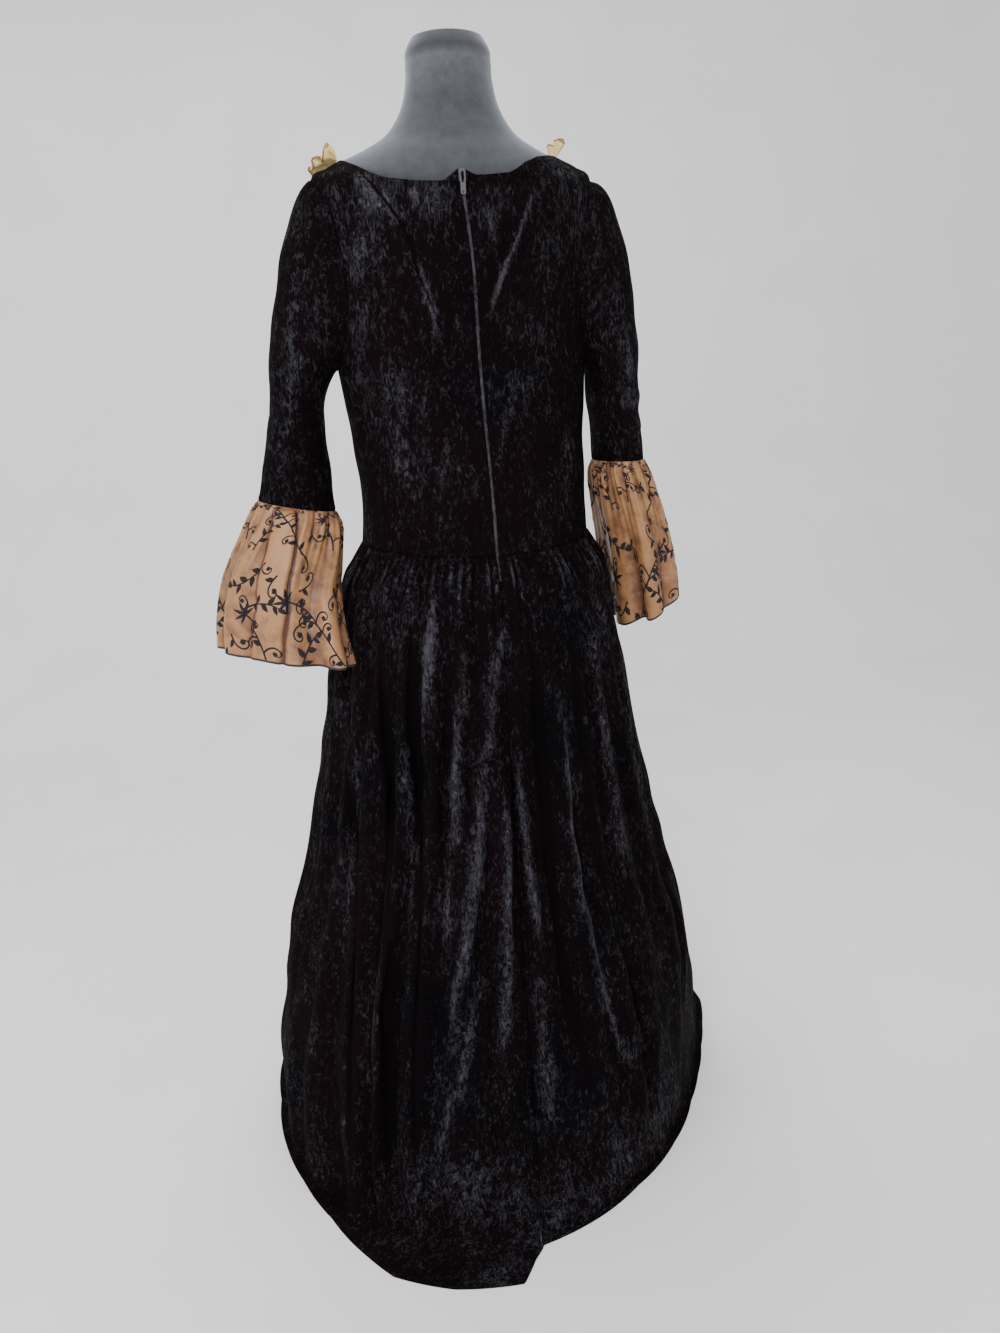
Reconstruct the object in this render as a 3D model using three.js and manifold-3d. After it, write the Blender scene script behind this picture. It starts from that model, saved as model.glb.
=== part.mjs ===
// A long velvet costume dress with gathered skirt, short train and bell cuffs, worn by a limbless dress form on a round
// stand. Millimetres, +Z up, origin under the middle of the stand's base. The wearer faces -Y, so the zip is on +Y and
// the wearer's left is +X. Plan angles start at the centre back and turn towards the wearer's left.
import * as THREE from "three";
import { mergeVertices } from "three/addons/utils/BufferGeometryUtils.js";
import Module from "manifold-3d";

// Cloth, seams and running gaps.
const VELVET = 1.8;
const SATIN = 1.4;
const SEAM = 0.3;
const SEAT = 0.7;

// Stand.
const BASE_RADIUS = 150;
const BASE_THICK = 12;
const BASE_ROUND = 4;
const BASE_SIDES = 40;
const POLE_RADIUS = 16;
const POLE_SIDES = 24;

// Columns round a quarter of the body, and columns in one fold of the skirt: two to a gather, three gathers to a fold.
const QUARTER_COLUMNS = 8;
const FOLD_COLUMNS = 6;

const DEG = Math.PI / 180;
const QUARTER = Math.PI / 2;

const vec = (x, y, z) => new THREE.Vector3(x, y, z);

// Value of a list at a fractional index, on a smooth curve through its entries.
function smoothAt(list, index) {
  const last = list.length - 1;
  const i = Math.min(Math.max(Math.floor(index), 0), last - 1);
  const f = index - i;
  const [a, b, c, d] = [i - 1, i, i + 1, i + 2].map((k) => list[Math.min(Math.max(k, 0), last)]);
  const slopeB = (c - a) / 2;
  const slopeC = (d - b) / 2;
  const f2 = f * f;
  const f3 = f2 * f;
  return b * (2 * f3 - 3 * f2 + 1) + slopeB * (f3 - 2 * f2 + f) + c * (3 * f2 - 2 * f3) + slopeC * (f3 - f2);
}

// Value at x in a table of rows [x, value], straight between rows.
function tableAt(rows, x) {
  if (x <= rows[0][0]) return rows[0][1];
  for (let k = 1; k < rows.length; k++) {
    if (x > rows[k][0]) continue;
    const f = (x - rows[k - 1][0]) / (rows[k][0] - rows[k - 1][0]);
    return THREE.MathUtils.lerp(rows[k - 1][1], rows[k][1], f);
  }
  return rows[rows.length - 1][1];
}

// A ring table as a surface: a row number and a plan angle give a point. Each ring is a half ellipse behind and one in
// front, and its height runs smoothly from the sides to the centre back and the centre front.
function ringSurface(rings) {
  const column = (name) => rings.map((ring) => ring[name]);
  const names = ["halfWidth", "sideZ", "frontDepth", "frontZ", "backDepth", "backZ"];
  const lists = Object.fromEntries(names.map((name) => [name, column(name)]));
  return (row, angle) => {
    const at = Object.fromEntries(names.map((name) => [name, smoothAt(lists[name], row)]));
    const sine = Math.sin(angle);
    const cosine = Math.cos(angle);
    const depth = cosine > 0 ? at.backDepth : at.frontDepth;
    const middleZ = cosine > 0 ? at.backZ : at.frontZ;
    const z = at.sideZ * sine * sine + middleZ * cosine * cosine;
    return vec(at.halfWidth * sine, depth * cosine, z);
  };
}

// Outward direction of a ring surface at a row and an angle.
function ringNormal(surface, row, angle) {
  const step = 0.02;
  const along = surface(row, angle + step).sub(surface(row, angle - step));
  const up = surface(row + step, angle).sub(surface(row - step, angle));
  return up.cross(along).normalize();
}

// Table rows written as arrays under named columns.
function named(columns, rows) {
  return rows.map((row) => Object.fromEntries(columns.map((name, k) => [name, row[k]])));
}

// A closed mesh from vertices and triangles, turned the right way out.
function closedGeometry(vertices, faces) {
  let volume = 0;
  for (let k = 0; k < faces.length; k += 3) {
    const [a, b, c] = [vertices[faces[k]], vertices[faces[k + 1]], vertices[faces[k + 2]]];
    volume += a.dot(b.clone().cross(c));
  }
  if (volume < 0) faces.reverse();
  const geometry = new THREE.BufferGeometry();
  geometry.setAttribute("position", new THREE.Float32BufferAttribute(vertices.flatMap((v) => v.toArray()), 3));
  geometry.setIndex(faces);
  geometry.computeVertexNormals();
  return geometry;
}

// A cloth wall between an outer and an inner grid of points, each grid[column][row]. A closed wall joins its last column
// to its first, and an open one has four edges.
function wallGeometry(outer, inner, closed) {
  const columns = outer.length;
  const rows = outer[0].length;
  const vertices = [...outer.flat(), ...inner.flat()];
  const out = (i, j) => (i % columns) * rows + j;
  const within = (i, j) => columns * rows + out(i, j);
  const faces = [];
  const quad = (a, b, c, d) => faces.push(a, b, c, a, c, d);
  const spans = closed ? columns : columns - 1;
  for (let i = 0; i < spans; i++) {
    for (let j = 0; j < rows - 1; j++) {
      quad(out(i, j), out(i + 1, j), out(i + 1, j + 1), out(i, j + 1));
      quad(within(i, j), within(i, j + 1), within(i + 1, j + 1), within(i + 1, j));
    }
    quad(out(i + 1, 0), out(i, 0), within(i, 0), within(i + 1, 0));
    quad(out(i, rows - 1), out(i + 1, rows - 1), within(i + 1, rows - 1), within(i, rows - 1));
  }
  for (let j = 0; j < rows - 1 && !closed; j++) {
    const end = columns - 1;
    quad(out(0, j), out(0, j + 1), within(0, j + 1), within(0, j));
    quad(out(end, j + 1), out(end, j), within(end, j), within(end, j + 1));
  }
  return closedGeometry(vertices, faces);
}

// Outer and inner grids half a wall each side of the middle grid.
function bothFaces(middle, normals, thickness) {
  const shifted = (half) =>
    middle.map((line, i) => line.map((point, j) => point.clone().addScaledVector(normals[i][j], half)));
  return [shifted(thickness / 2), shifted(-thickness / 2)];
}

// Normals of a closed grid from its neighbouring points, pointing outwards when columns turn as plan angles do and rows
// climb. Turn is -1 where they run the other way.
function gridNormals(grid, turn) {
  const columns = grid.length;
  const rows = grid[0].length;
  return grid.map((line, i) =>
    line.map((_, j) => {
      const along = grid[(i + 1) % columns][j].clone().sub(grid[(i + columns - 1) % columns][j]);
      const up = line[Math.min(j + 1, rows - 1)].clone().sub(line[Math.max(j - 1, 0)]);
      return up.cross(along).multiplyScalar(turn).normalize();
    }),
  );
}

// A velvet, satin or metal finish.
function finish(color, roughness, metalness = 0) {
  return new THREE.MeshStandardMaterial({ color, roughness, metalness });
}

const dress = new THREE.Group();

function addPiece(name, geometry, material) {
  const mesh = new THREE.Mesh(geometry, material);
  mesh.name = name;
  dress.add(mesh);
  return mesh;
}

// Dress form: a smooth torso and neck, closed flat at the hips and on top of the neck. The shoulder rings are shared with
// the bodice, which is seated on them.
const RING_COLUMNS = ["name", "halfWidth", "sideZ", "frontDepth", "frontZ", "backDepth", "backZ"];
const SHOULDER_RINGS = [
  ["mid shoulder", 171, 1440, 117, 1318, 97, 1407],
  ["neckline", 149, 1451, 112, 1335, 93, 1424],
  ["collar bone", 118, 1465, 91, 1382, 81, 1449],
  ["neck root", 88, 1484, 66, 1432, 66, 1474],
];
const FORM_RINGS = named(RING_COLUMNS, [
  ["foot", 150, 832, 99, 832, 112, 832],
  ["hip", 157, 862, 103, 862, 118, 862],
  ["high hip", 145, 930, 101, 930, 108, 930],
  ["waist", 124, 1035, 92, 1035, 84, 1035],
  ["ribs", 137, 1110, 106, 1110, 88, 1110],
  ["bust", 150, 1205, 127, 1190, 95, 1195],
  ["chest", 160, 1290, 126, 1235, 98, 1280],
  ["upper chest", 176, 1376, 122, 1270, 99, 1343],
  ["shoulder end", 184, 1421, 117, 1298, 96, 1386],
  ...SHOULDER_RINGS,
  ["low neck", 67, 1515, 54, 1490, 56, 1510],
  ["neck", 58, 1550, 52, 1545, 54, 1550],
  ["cap edge", 57, 1580, 53, 1580, 55, 1580],
  ["cap", 48, 1598, 45, 1598, 46, 1598],
]);
const FORM_FOOT_Z = FORM_RINGS[0].sideZ;
const formSurface = ringSurface(FORM_RINGS);

function formGeometry() {
  const around = 4 * QUARTER_COLUMNS;
  const rows = FORM_RINGS.length;
  const vertices = [];
  for (let j = 0; j < rows; j++)
    for (let i = 0; i < around; i++) vertices.push(formSurface(j, (i / around) * 2 * Math.PI));
  const foot = vertices.push(vec(0, 0, FORM_FOOT_Z)) - 1;
  const crown = vertices.push(vec(0, 0, FORM_RINGS[rows - 1].sideZ)) - 1;
  const at = (i, j) => j * around + (i % around);
  const faces = [];
  for (let i = 0; i < around; i++) {
    for (let j = 0; j < rows - 1; j++) {
      faces.push(at(i, j), at(i + 1, j), at(i + 1, j + 1));
      faces.push(at(i, j), at(i + 1, j + 1), at(i, j + 1));
    }
    faces.push(at(i + 1, 0), at(i, 0), foot);
    faces.push(at(i, rows - 1), at(i + 1, rows - 1), crown);
  }
  return closedGeometry(vertices, faces);
}

const formCloth = finish(0x2e3136, 0.95);
const standMetal = finish(0x1c1c1e, 0.45, 0.6);
addPiece("dress_form", formGeometry(), formCloth);

// Stand: a round pole under the form and a round foot plate with an eased upper edge.
const poleLength = FORM_FOOT_Z - BASE_THICK - 2 * SEAM;
const pole = new THREE.CylinderGeometry(POLE_RADIUS, POLE_RADIUS, poleLength, POLE_SIDES);
pole.rotateX(QUARTER).translate(0, 0, BASE_THICK + SEAM + poleLength / 2);
addPiece("stand_pole", pole, standMetal);

const baseProfile = [
  new THREE.Vector2(0, 0),
  new THREE.Vector2(BASE_RADIUS, 0),
  new THREE.Vector2(BASE_RADIUS, BASE_THICK - BASE_ROUND),
  new THREE.Vector2(BASE_RADIUS - BASE_ROUND, BASE_THICK),
  new THREE.Vector2(0, BASE_THICK),
];
addPiece("stand_base", new THREE.LatheGeometry(baseProfile, BASE_SIDES).rotateX(QUARTER), standMetal);

// Bodice: rings from the dropped waist seam to the neckline. Seated is how far the cloth's middle stands off the shared
// shoulder rings.
const SEATED = SEAT + VELVET / 2;
const BODICE_RINGS = named(RING_COLUMNS, [
  ["waist seam", 169, 942, 128, 936, 132, 930],
  ["low waist", 166, 990, 121, 988, 121, 986],
  ["waist", 167, 1045, 116, 1045, 112, 1045],
  ["ribs", 171, 1110, 126, 1110, 108, 1110],
  ["underarm", 178, 1186, 142, 1182, 107, 1184],
  ["low armhole", 180, 1245, 141, 1213, 108, 1240],
  ["mid armhole", 183, 1308, 137, 1244, 109, 1295],
  ["high armhole", 188, 1375, 130, 1272, 106, 1345],
  ["shoulder tip", 191, 1427, 121, 1300, 100, 1390],
  ...SHOULDER_RINGS,
]);
const UNDERARM_ROW = 4;
const TIP_ROW = 8;
const NECK_ROW = 10;
const bodiceSurface = ringSurface(BODICE_RINGS);

// Rows of the bodice below, beside and above the armhole.
const BODICE_ROWS = [0, 1, 2, 3, UNDERARM_ROW, 4.3, 5, 6, 7, 7.6, TIP_ROW, 9, NECK_ROW];
const ARMHOLE_ROWS = BODICE_ROWS.filter((row) => row > UNDERARM_ROW && row < TIP_ROW);
const ARMHOLE_ANGLE = 28 * DEG;

// The neckline's rise or dip along the body, in ring rows, by plan angle in degrees. The dress has slipped a little to
// the wearer's left, and the slack back edge sags on both sides of the zip.
const NECKLINE_SHIFT = [
  [-180, 0],
  [-90, 0.3],
  [-45, 0.32],
  [-32, 0.1],
  [-20, -0.4],
  [-3, -0.45],
  [2, -0.1],
  [6, -0.1],
  [12, -0.95],
  [24, -1.15],
  [37, -1.3],
  [54, -0.75],
  [73, -0.3],
  [90, -0.1],
  [103, -0.6],
  [125, -0.6],
  [150, -0.2],
  [180, 0],
];
const SLACK = 5;
const SLACK_SPREAD = 1.3;

// How far each ring of the dress is moved across: it hangs a little to the wearer's right below the arms.
const SWAY = [-8, -9, -8, -5, -1.5, 0, 0, 0, 0, 0, 0, 0, 0];

// The centre back seam swings towards the wearer's left as it nears the neckline.
const BACK_SEAM_SWING = 3.8 * DEG;
const backSeamAngle = (row) => BACK_SEAM_SWING * THREE.MathUtils.smoothstep(row, UNDERARM_ROW + 1, NECK_ROW);

function signedAngle(angle) {
  return Math.atan2(Math.sin(angle), Math.cos(angle));
}

// Middle of the bodice's cloth. Rows above the shoulder tip close up or spread out to end on the neckline.
function bodicePoint(row, angle) {
  const turn = signedAngle(angle);
  const overTip = Math.max(0, (row - TIP_ROW) / (NECK_ROW - TIP_ROW));
  const shifted = row + overTip * tableAt(NECKLINE_SHIFT, turn / DEG);
  const point = bodiceSurface(shifted, angle).add(vec(smoothAt(SWAY, row), 0, 0));
  const seated = THREE.MathUtils.smoothstep(row, TIP_ROW - 1, TIP_ROW);
  const back = Math.max(0, Math.cos(turn * SLACK_SPREAD)) * (Math.abs(turn) < QUARTER ? 1 : 0);
  const stand = seated * SEATED + SLACK * back * overTip;
  return point.addScaledVector(ringNormal(bodiceSurface, shifted, angle), stand);
}

// Angle from the side seam to the armhole's edge at a row.
function armholeHalf(row) {
  const middle = (UNDERARM_ROW + TIP_ROW) / 2;
  const reach = (row - middle) / (TIP_ROW - middle);
  return Math.abs(reach) >= 1 ? 0 : ARMHOLE_ANGLE * Math.sqrt(1 - reach * reach);
}

// A bodice panel between two seams, each given by its plan angle at a row.
function bodicePanel(startAngle, endAngle, columns) {
  const middle = [];
  const normals = [];
  for (let i = 0; i <= columns; i++) {
    const line = [];
    const lineNormals = [];
    for (const row of BODICE_ROWS) {
      const angle = THREE.MathUtils.lerp(startAngle(row), endAngle(row), i / columns);
      const point = bodicePoint(row, angle);
      const along = bodicePoint(row, angle + 0.01).sub(bodicePoint(row, angle - 0.01)).normalize();
      const inward = i === 0 ? SEAM / 2 : i === columns ? -SEAM / 2 : 0;
      line.push(point.addScaledVector(along, inward));
      const normal = ringNormal(bodicePoint, row, angle);
      if (row === 0) normal.setZ(0).normalize();
      lineNormals.push(normal);
    }
    middle.push(line);
    normals.push(lineNormals);
  }
  return wallGeometry(...bothFaces(middle, normals, VELVET), false);
}

const velvet = finish(0x0b0b10, 0.72);
const behind = (side) => (row) => side * (QUARTER - armholeHalf(row));
const before = (side) => (row) => Math.PI - side * (QUARTER - armholeHalf(row));
addPiece("bodice_front", bodicePanel(before(1), before(-1), 2 * QUARTER_COLUMNS), velvet);
addPiece("bodice_back_left", bodicePanel(backSeamAngle, behind(1), QUARTER_COLUMNS), velvet);
addPiece("bodice_back_right", bodicePanel(behind(-1), backSeamAngle, QUARTER_COLUMNS), velvet);

// Sleeves: the seam follows the armhole's own corner points, and each column runs from there out and down into a slack
// tube. Tube rows are ellipses: height, middle, half width across the body and half depth.
const TUBE_COLUMNS = ["z", "x", "y", "halfWidth", "halfDepth", "tilt", "heading"];
const SLEEVES = {
  left: named(TUBE_COLUMNS, [
    [1130, 239, 0, 36.5, 52, 0, 0],
    [1075, 245, 1, 43.5, 51, 0.05, 0],
    [1004, 251, 4, 52, 44, 0.2, 0],
  ]),
  right: named(TUBE_COLUMNS, [
    [1162, 224, 0, 35, 56, 0, 0],
    [1095, 230, -2, 34, 57, 0, 0],
    [1041, 236, -5, 34.5, 57, 0, 0],
  ]),
};
const SLEEVE_STEPS = [0.08, 0.2, 0.4, 0.68];
const TUCK_DEPTH = 2.5;
const LEAVING = 0.6;
const CAP_FULLNESS = { left: 104, right: 165 };
const CAP_RISE = { left: -0.05, right: 0.2 };
const UNDERARM_FULLNESS = 30;
const UNDERARM_RISE = 0.4;
// Directions in which the sleeve leaves its seam and lands in the tube, as shares.
const LEAVE_NORMAL = 0.3;
const LEAVE_INWARD = { underarm: 0.5, cap: 0.2 };
const LANDING = 0.9;
// Tucks are only on the sleeve's head, from this share of its height up.
const TUCK_FROM = 0.4;
const TUCK_GAIN = 1 / (1 - TUCK_FROM);

// Corner points of an armhole from the underarm up the back, over the shoulder tip and down the front, with the middle of
// each stretch between two corners. Each has its point, the cloth's outward direction and the way into the hole.
function armholeLoop(side) {
  const up = ARMHOLE_ROWS.map((row) => [row, -armholeHalf(row)]);
  const down = [...ARMHOLE_ROWS].reverse().map((row) => [row, armholeHalf(row)]);
  const corners = [[UNDERARM_ROW, 0], ...up, [TIP_ROW, 0], ...down];
  const centre = bodicePoint((UNDERARM_ROW + TIP_ROW) / 2, side * QUARTER);
  const stations = corners.map(([row, offset]) => {
    const angle = side * (QUARTER + offset);
    const point = bodicePoint(row, angle);
    const normal = ringNormal(bodicePoint, row, angle);
    const inward = centre.clone().sub(point);
    inward.addScaledVector(normal, -inward.dot(normal)).normalize();
    return { point, normal, inward, tuck: 0 };
  });
  return stations.flatMap((here, k) => {
    const next = stations[(k + 1) % stations.length];
    const between = {
      point: here.point.clone().lerp(next.point, 0.5),
      normal: here.normal.clone().lerp(next.normal, 0.5),
      inward: here.inward.clone().lerp(next.inward, 0.5),
      tuck: 1,
    };
    return [here, between];
  });
}

// A point of a tube's row. Wave moves it out from the ellipse, heading turns the ellipse in plan, in degrees, and tilt
// raises its outer side.
function tubePoint(row, side, turn, wave = 0) {
  const out = vec(row.halfDepth * Math.cos(turn), row.halfWidth * Math.sin(turn), 0).normalize();
  const flat = vec(row.halfWidth * Math.cos(turn), row.halfDepth * Math.sin(turn), 0);
  flat.addScaledVector(out, wave).applyAxisAngle(vec(0, 0, 1), row.heading * DEG);
  return vec(side * (row.x + flat.x), row.y + flat.y, row.z + row.tilt * flat.x);
}

function sleeveGeometry(side, tubeRows, fullness, rise) {
  const loop = armholeLoop(side);
  const columns = loop.length;
  const seamPoints = loop.map(({ point, inward }) => point.clone().addScaledVector(inward, LEAVING));
  const middle = loop.map(({ normal, inward, tuck }, i) => {
    const turn = Math.PI * (1 - (2 * i) / columns);
    const start = seamPoints[i];
    const goal = tubePoint(tubeRows[0], side, turn);
    const high = (1 + Math.cos(turn)) / 2;
    const out = vec(side, 0, THREE.MathUtils.lerp(UNDERARM_RISE, rise, high)).addScaledVector(normal, LEAVE_NORMAL);
    out.addScaledVector(inward, THREE.MathUtils.lerp(LEAVE_INWARD.underarm, LEAVE_INWARD.cap, high)).normalize();
    const fall = start.distanceTo(goal);
    const leave = out.multiplyScalar(THREE.MathUtils.lerp(UNDERARM_FULLNESS, fullness, high));
    const land = vec(0, 0, -LANDING * fall);
    const path = SLEEVE_STEPS.map((f) => {
      const f2 = f * f;
      const f3 = f2 * f;
      const point = start.clone().multiplyScalar(2 * f3 - 3 * f2 + 1);
      point.addScaledVector(leave, f3 - 2 * f2 + f);
      point.addScaledVector(goal, 3 * f2 - 2 * f3);
      point.addScaledVector(land, f3 - f2);
      const ripple = tuck * TUCK_DEPTH * Math.max(0, high - TUCK_FROM) * TUCK_GAIN * (1 - f);
      return point.addScaledVector(normal, -ripple);
    });
    return [start, ...path, ...tubeRows.map((row) => tubePoint(row, side, turn))];
  });
  const normals = gridNormals(middle, side);
  loop.forEach(({ normal }, i) => {
    normals[i][0] = normal.clone().normalize();
    const last = normals[i].length - 1;
    normals[i][last] = levelled(normals[i][last], tubeRows[tubeRows.length - 1], side);
  });
  return wallGeometry(...bothFaces(middle, normals, VELVET), true);
}

// A direction brought into a tube row's own tilted plane, so that the tube's end is flat.
function levelled(direction, row, side) {
  const upright = vec(-side * row.tilt, 0, 1).normalize();
  return direction.clone().addScaledVector(upright, -direction.dot(upright)).normalize();
}

addPiece("sleeve_left", sleeveGeometry(1, SLEEVES.left, CAP_FULLNESS.left, CAP_RISE.left), velvet);
addPiece("sleeve_right", sleeveGeometry(-1, SLEEVES.right, CAP_FULLNESS.right, CAP_RISE.right), velvet);

// Bell cuffs: each hangs from the end of its sleeve, in gathers at the seam and wide flutes at the hem.
const CUFF_GATHERS = 14;
const CUFF_FLUTES = 7;
const CUFF_COLUMNS = 3 * CUFF_GATHERS;
const CUFF_ROW_COLUMNS = [...TUBE_COLUMNS, "gather", "flute"];
const CUFFS = {
  left: named(CUFF_ROW_COLUMNS, [
    [1004 - SEAM, 251, 4, 52, 44, 0.2, 0, 1.2, 0],
    [984, 253, 7, 61, 49, 0.2, -6, 3, 1],
    [948, 264, 18, 70.5, 50, 0.18, -13, 2, 3],
    [900, 282.5, 38, 82, 45, 0.15, -23, 0.8, 4.5],
    [850, 290, 57, 93.5, 38, 0.12, -30, 0, 6],
    [800, 289, 69, 105, 35, 0.1, -34.5, 0, 7.5],
  ]),
  right: named(CUFF_ROW_COLUMNS, [
    [1041 - SEAM, 236, -5, 34.5, 57, 0, 0, 1.2, 0],
    [1020, 240, -6, 42, 63, 0, 0, 3, 1],
    [975, 253, -10, 48, 72, 0, 0, 2, 3],
    [920, 266, -16, 49, 82, 0.14, 0, 0.8, 5],
    [862, 276, -24, 49, 90, 0.34, 0, 0, 7],
    [810, 283, -32, 48, 97, 0.56, 0, 0, 8],
  ]),
};

function cuffGeometry(side, rows) {
  const middle = [];
  for (let i = 0; i < CUFF_COLUMNS; i++) {
    const turn = Math.PI * (1 - (2 * i) / CUFF_COLUMNS);
    const gather = Math.cos(CUFF_GATHERS * turn);
    const flute = Math.cos(CUFF_FLUTES * turn);
    middle.push(rows.map((row) => tubePoint(row, side, turn, gather * row.gather + flute * row.flute)));
  }
  const normals = gridNormals(middle, side);
  for (const line of normals) {
    line[0] = levelled(line[0], rows[0], side);
    line[rows.length - 1] = levelled(line[rows.length - 1], rows[rows.length - 1], side);
  }
  return wallGeometry(...bothFaces(middle, normals, SATIN), true);
}

const satin = finish(0xa8835a, 0.45);
addPiece("cuff_left", cuffGeometry(1, CUFFS.left), satin);
addPiece("cuff_right", cuffGeometry(-1, CUFFS.right), satin);

// Skirt folds round the body, from the centre back towards the wearer's left: the plan angle where each fold starts and
// how far its crest stands out at the floor.
const FOLDS = named(["from", "depth"], [
  [0, 12],
  [11, 15],
  [23, 16],
  [34, 24],
  [44, 23],
  [56, 18],
  [71, 22],
  [90, 20],
  [105, 23],
  [119, 19],
  [134, 24],
  [150, 20],
  [165, 22],
  [180, 19],
  [196, 24],
  [210, 20],
  [226, 22],
  [241, 19],
  [256, 22],
  [270, 21],
  [285, 22],
  [300, 16],
  [314, 20],
  [326, 15],
  [338, 13],
  [350, 10],
]);
const SKIRT_COLUMNS = FOLDS.length * FOLD_COLUMNS;

// Skirt rows down from the waist seam: height, half width, depth behind and in front, share of each fold's depth, size of
// the small gathers, turn of the centre back seam in degrees, the least distance inside the hem's edge, and how far the
// row is moved across.
const SKIRT_ROWS = named(
  ["z", "halfWidth", "backDepth", "frontDepth", "fold", "gather", "turn", "insideHem", "sway"],
  [
    [918, 181, 145, 138, 0.1, 3, 0, 90, -7],
    [885, 198, 165, 156, 0.22, 2.4, 0, 80, -5],
    [800, 211, 188, 180, 0.45, 1, 0.5, 70, -2],
    [660, 234, 212, 204, 0.65, 0, 1, 60, 0],
    [480, 270, 242, 234, 0.8, 0, 1.5, 42, 0],
    [290, 322, 280, 270, 0.95, 0, 1.8, 26, 0],
    [120, 356, 314, 296, 1, 0, 2, 17, 0],
    [24, 362, 352, 312, 1, 0, 3, 14, 0],
    [VELVET / 2, 370, 378, 326, 1, 0, 4.2, 9, 0],
  ],
);
const HEM_TURN = 4.2;
const SEAM_TURN_REACH = 60;
const SKIRT_SEAM = 0.5;
const WAIST_GATHER = 2.2;
const WAIST_SEAM_DROP = 0.5;
// Share of a fold's depth that lies inside the row's ellipse.
const FOLD_INSIDE = 0.45;

// Hem on the floor: distance from the middle by plan angle. The left back panel trails further than the right one, and
// the front spreads out on the wearer's right.
const HEM_RADIUS = [
  [0, 390],
  [2, 406],
  [5, 442],
  [18, 449],
  [30, 445],
  [37, 428],
  [50, 400],
  [64, 384],
  [77, 377],
  [94, 372],
  [114, 392],
  [135, 372],
  [180, 345],
  [225, 350],
  [240, 414],
  [250, 449],
  [260, 430],
  [269, 396],
  [278, 370],
  [290, 350],
  [301, 340],
  [317, 341],
  [334, 350],
  [350, 371],
  [359, 384],
  [360, 386],
];

function skirtAngle(column) {
  const k = Math.min(Math.floor(column / FOLD_COLUMNS), FOLDS.length - 1);
  const next = k + 1 < FOLDS.length ? FOLDS[k + 1].from : 360;
  return THREE.MathUtils.lerp(FOLDS[k].from, next, (column - k * FOLD_COLUMNS) / FOLD_COLUMNS);
}

// A skirt point from a column and a row. Row 0 is the waist seam, and the last one is the hem's edge.
function skirtPoint(column, row) {
  const degrees = skirtAngle(column);
  const zigzag = column % 2 ? 1 : -1;
  if (row === 0) {
    const point = bodicePoint(0, degrees * DEG);
    const out = ringNormal(bodicePoint, 0, degrees * DEG).setZ(0).normalize();
    return point.addScaledVector(out, WAIST_GATHER * zigzag).setZ(point.z - WAIST_SEAM_DROP);
  }
  const hem = tableAt(HEM_RADIUS, degrees);
  const near = Math.max(0, 1 - Math.min(degrees, 360 - degrees) / SEAM_TURN_REACH);
  if (row > SKIRT_ROWS.length) {
    const angle = (degrees + HEM_TURN * near) * DEG;
    return vec(hem * Math.sin(angle), hem * Math.cos(angle), VELVET / 2);
  }
  const ring = SKIRT_ROWS[row - 1];
  const angle = (degrees + ring.turn * near) * DEG;
  const depth = Math.cos(angle) > 0 ? ring.backDepth : ring.frontDepth;
  const place = vec(ring.halfWidth * Math.sin(angle) + ring.sway, depth * Math.cos(angle), 0);
  const out = vec(depth * Math.sin(angle), ring.halfWidth * Math.cos(angle), 0).normalize();
  const fold = FOLDS[Math.floor(column / FOLD_COLUMNS) % FOLDS.length];
  const crest = Math.sin((Math.PI * (column % FOLD_COLUMNS)) / FOLD_COLUMNS) ** 2;
  place.addScaledVector(out, ring.fold * fold.depth * (crest - FOLD_INSIDE) + ring.gather * zigzag);
  place.clampLength(0, hem - ring.insideHem);
  return place.setZ(ring.z);
}

const SKIRT_LINES = Array.from({ length: SKIRT_COLUMNS + 1 }, (_, i) =>
  Array.from({ length: SKIRT_ROWS.length + 2 }, (_, j) => skirtPoint(i, j)),
);

// A skirt panel between two fold columns, parted from its neighbours by half a seam at each side.
function skirtPanel(from, to) {
  const lines = SKIRT_LINES;
  const beside = (i) => lines[(i + SKIRT_COLUMNS) % SKIRT_COLUMNS];
  const middle = [];
  const normals = [];
  for (let i = from; i <= to; i++) {
    const rows = lines[i].length;
    const inward = i === from ? SKIRT_SEAM / 2 : i === to ? -SKIRT_SEAM / 2 : 0;
    const line = [];
    const lineNormals = [];
    for (let j = 0; j < rows; j++) {
      const along = beside(i + 1)[j].clone().sub(beside(i - 1)[j]).setZ(0).normalize();
      const down = lines[i][Math.min(j + 1, rows - 1)].clone().sub(lines[i][Math.max(j - 1, 0)]);
      const flat = j >= rows - 2;
      const normal = flat ? vec(0, 0, 1) : along.clone().cross(down).normalize();
      if (j === 0) normal.setZ(0).normalize();
      const around = flat ? vec(lines[i][j].y, -lines[i][j].x, 0).normalize() : along;
      line.push(lines[i][j].clone().addScaledVector(around, inward));
      lineNormals.push(normal);
    }
    middle.push(line);
    normals.push(lineNormals);
  }
  return wallGeometry(...bothFaces(middle, normals, VELVET), false);
}

const seams = [90, 180, 270].map((degrees) => FOLDS.findIndex((fold) => fold.from === degrees) * FOLD_COLUMNS);
addPiece("skirt_back_left", skirtPanel(0, seams[0]), velvet);
addPiece("skirt_front_left", skirtPanel(seams[0], seams[1]), velvet);
addPiece("skirt_front_right", skirtPanel(seams[1], seams[2]), velvet);
addPiece("skirt_back_right", skirtPanel(seams[2], SKIRT_COLUMNS), velvet);

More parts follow.
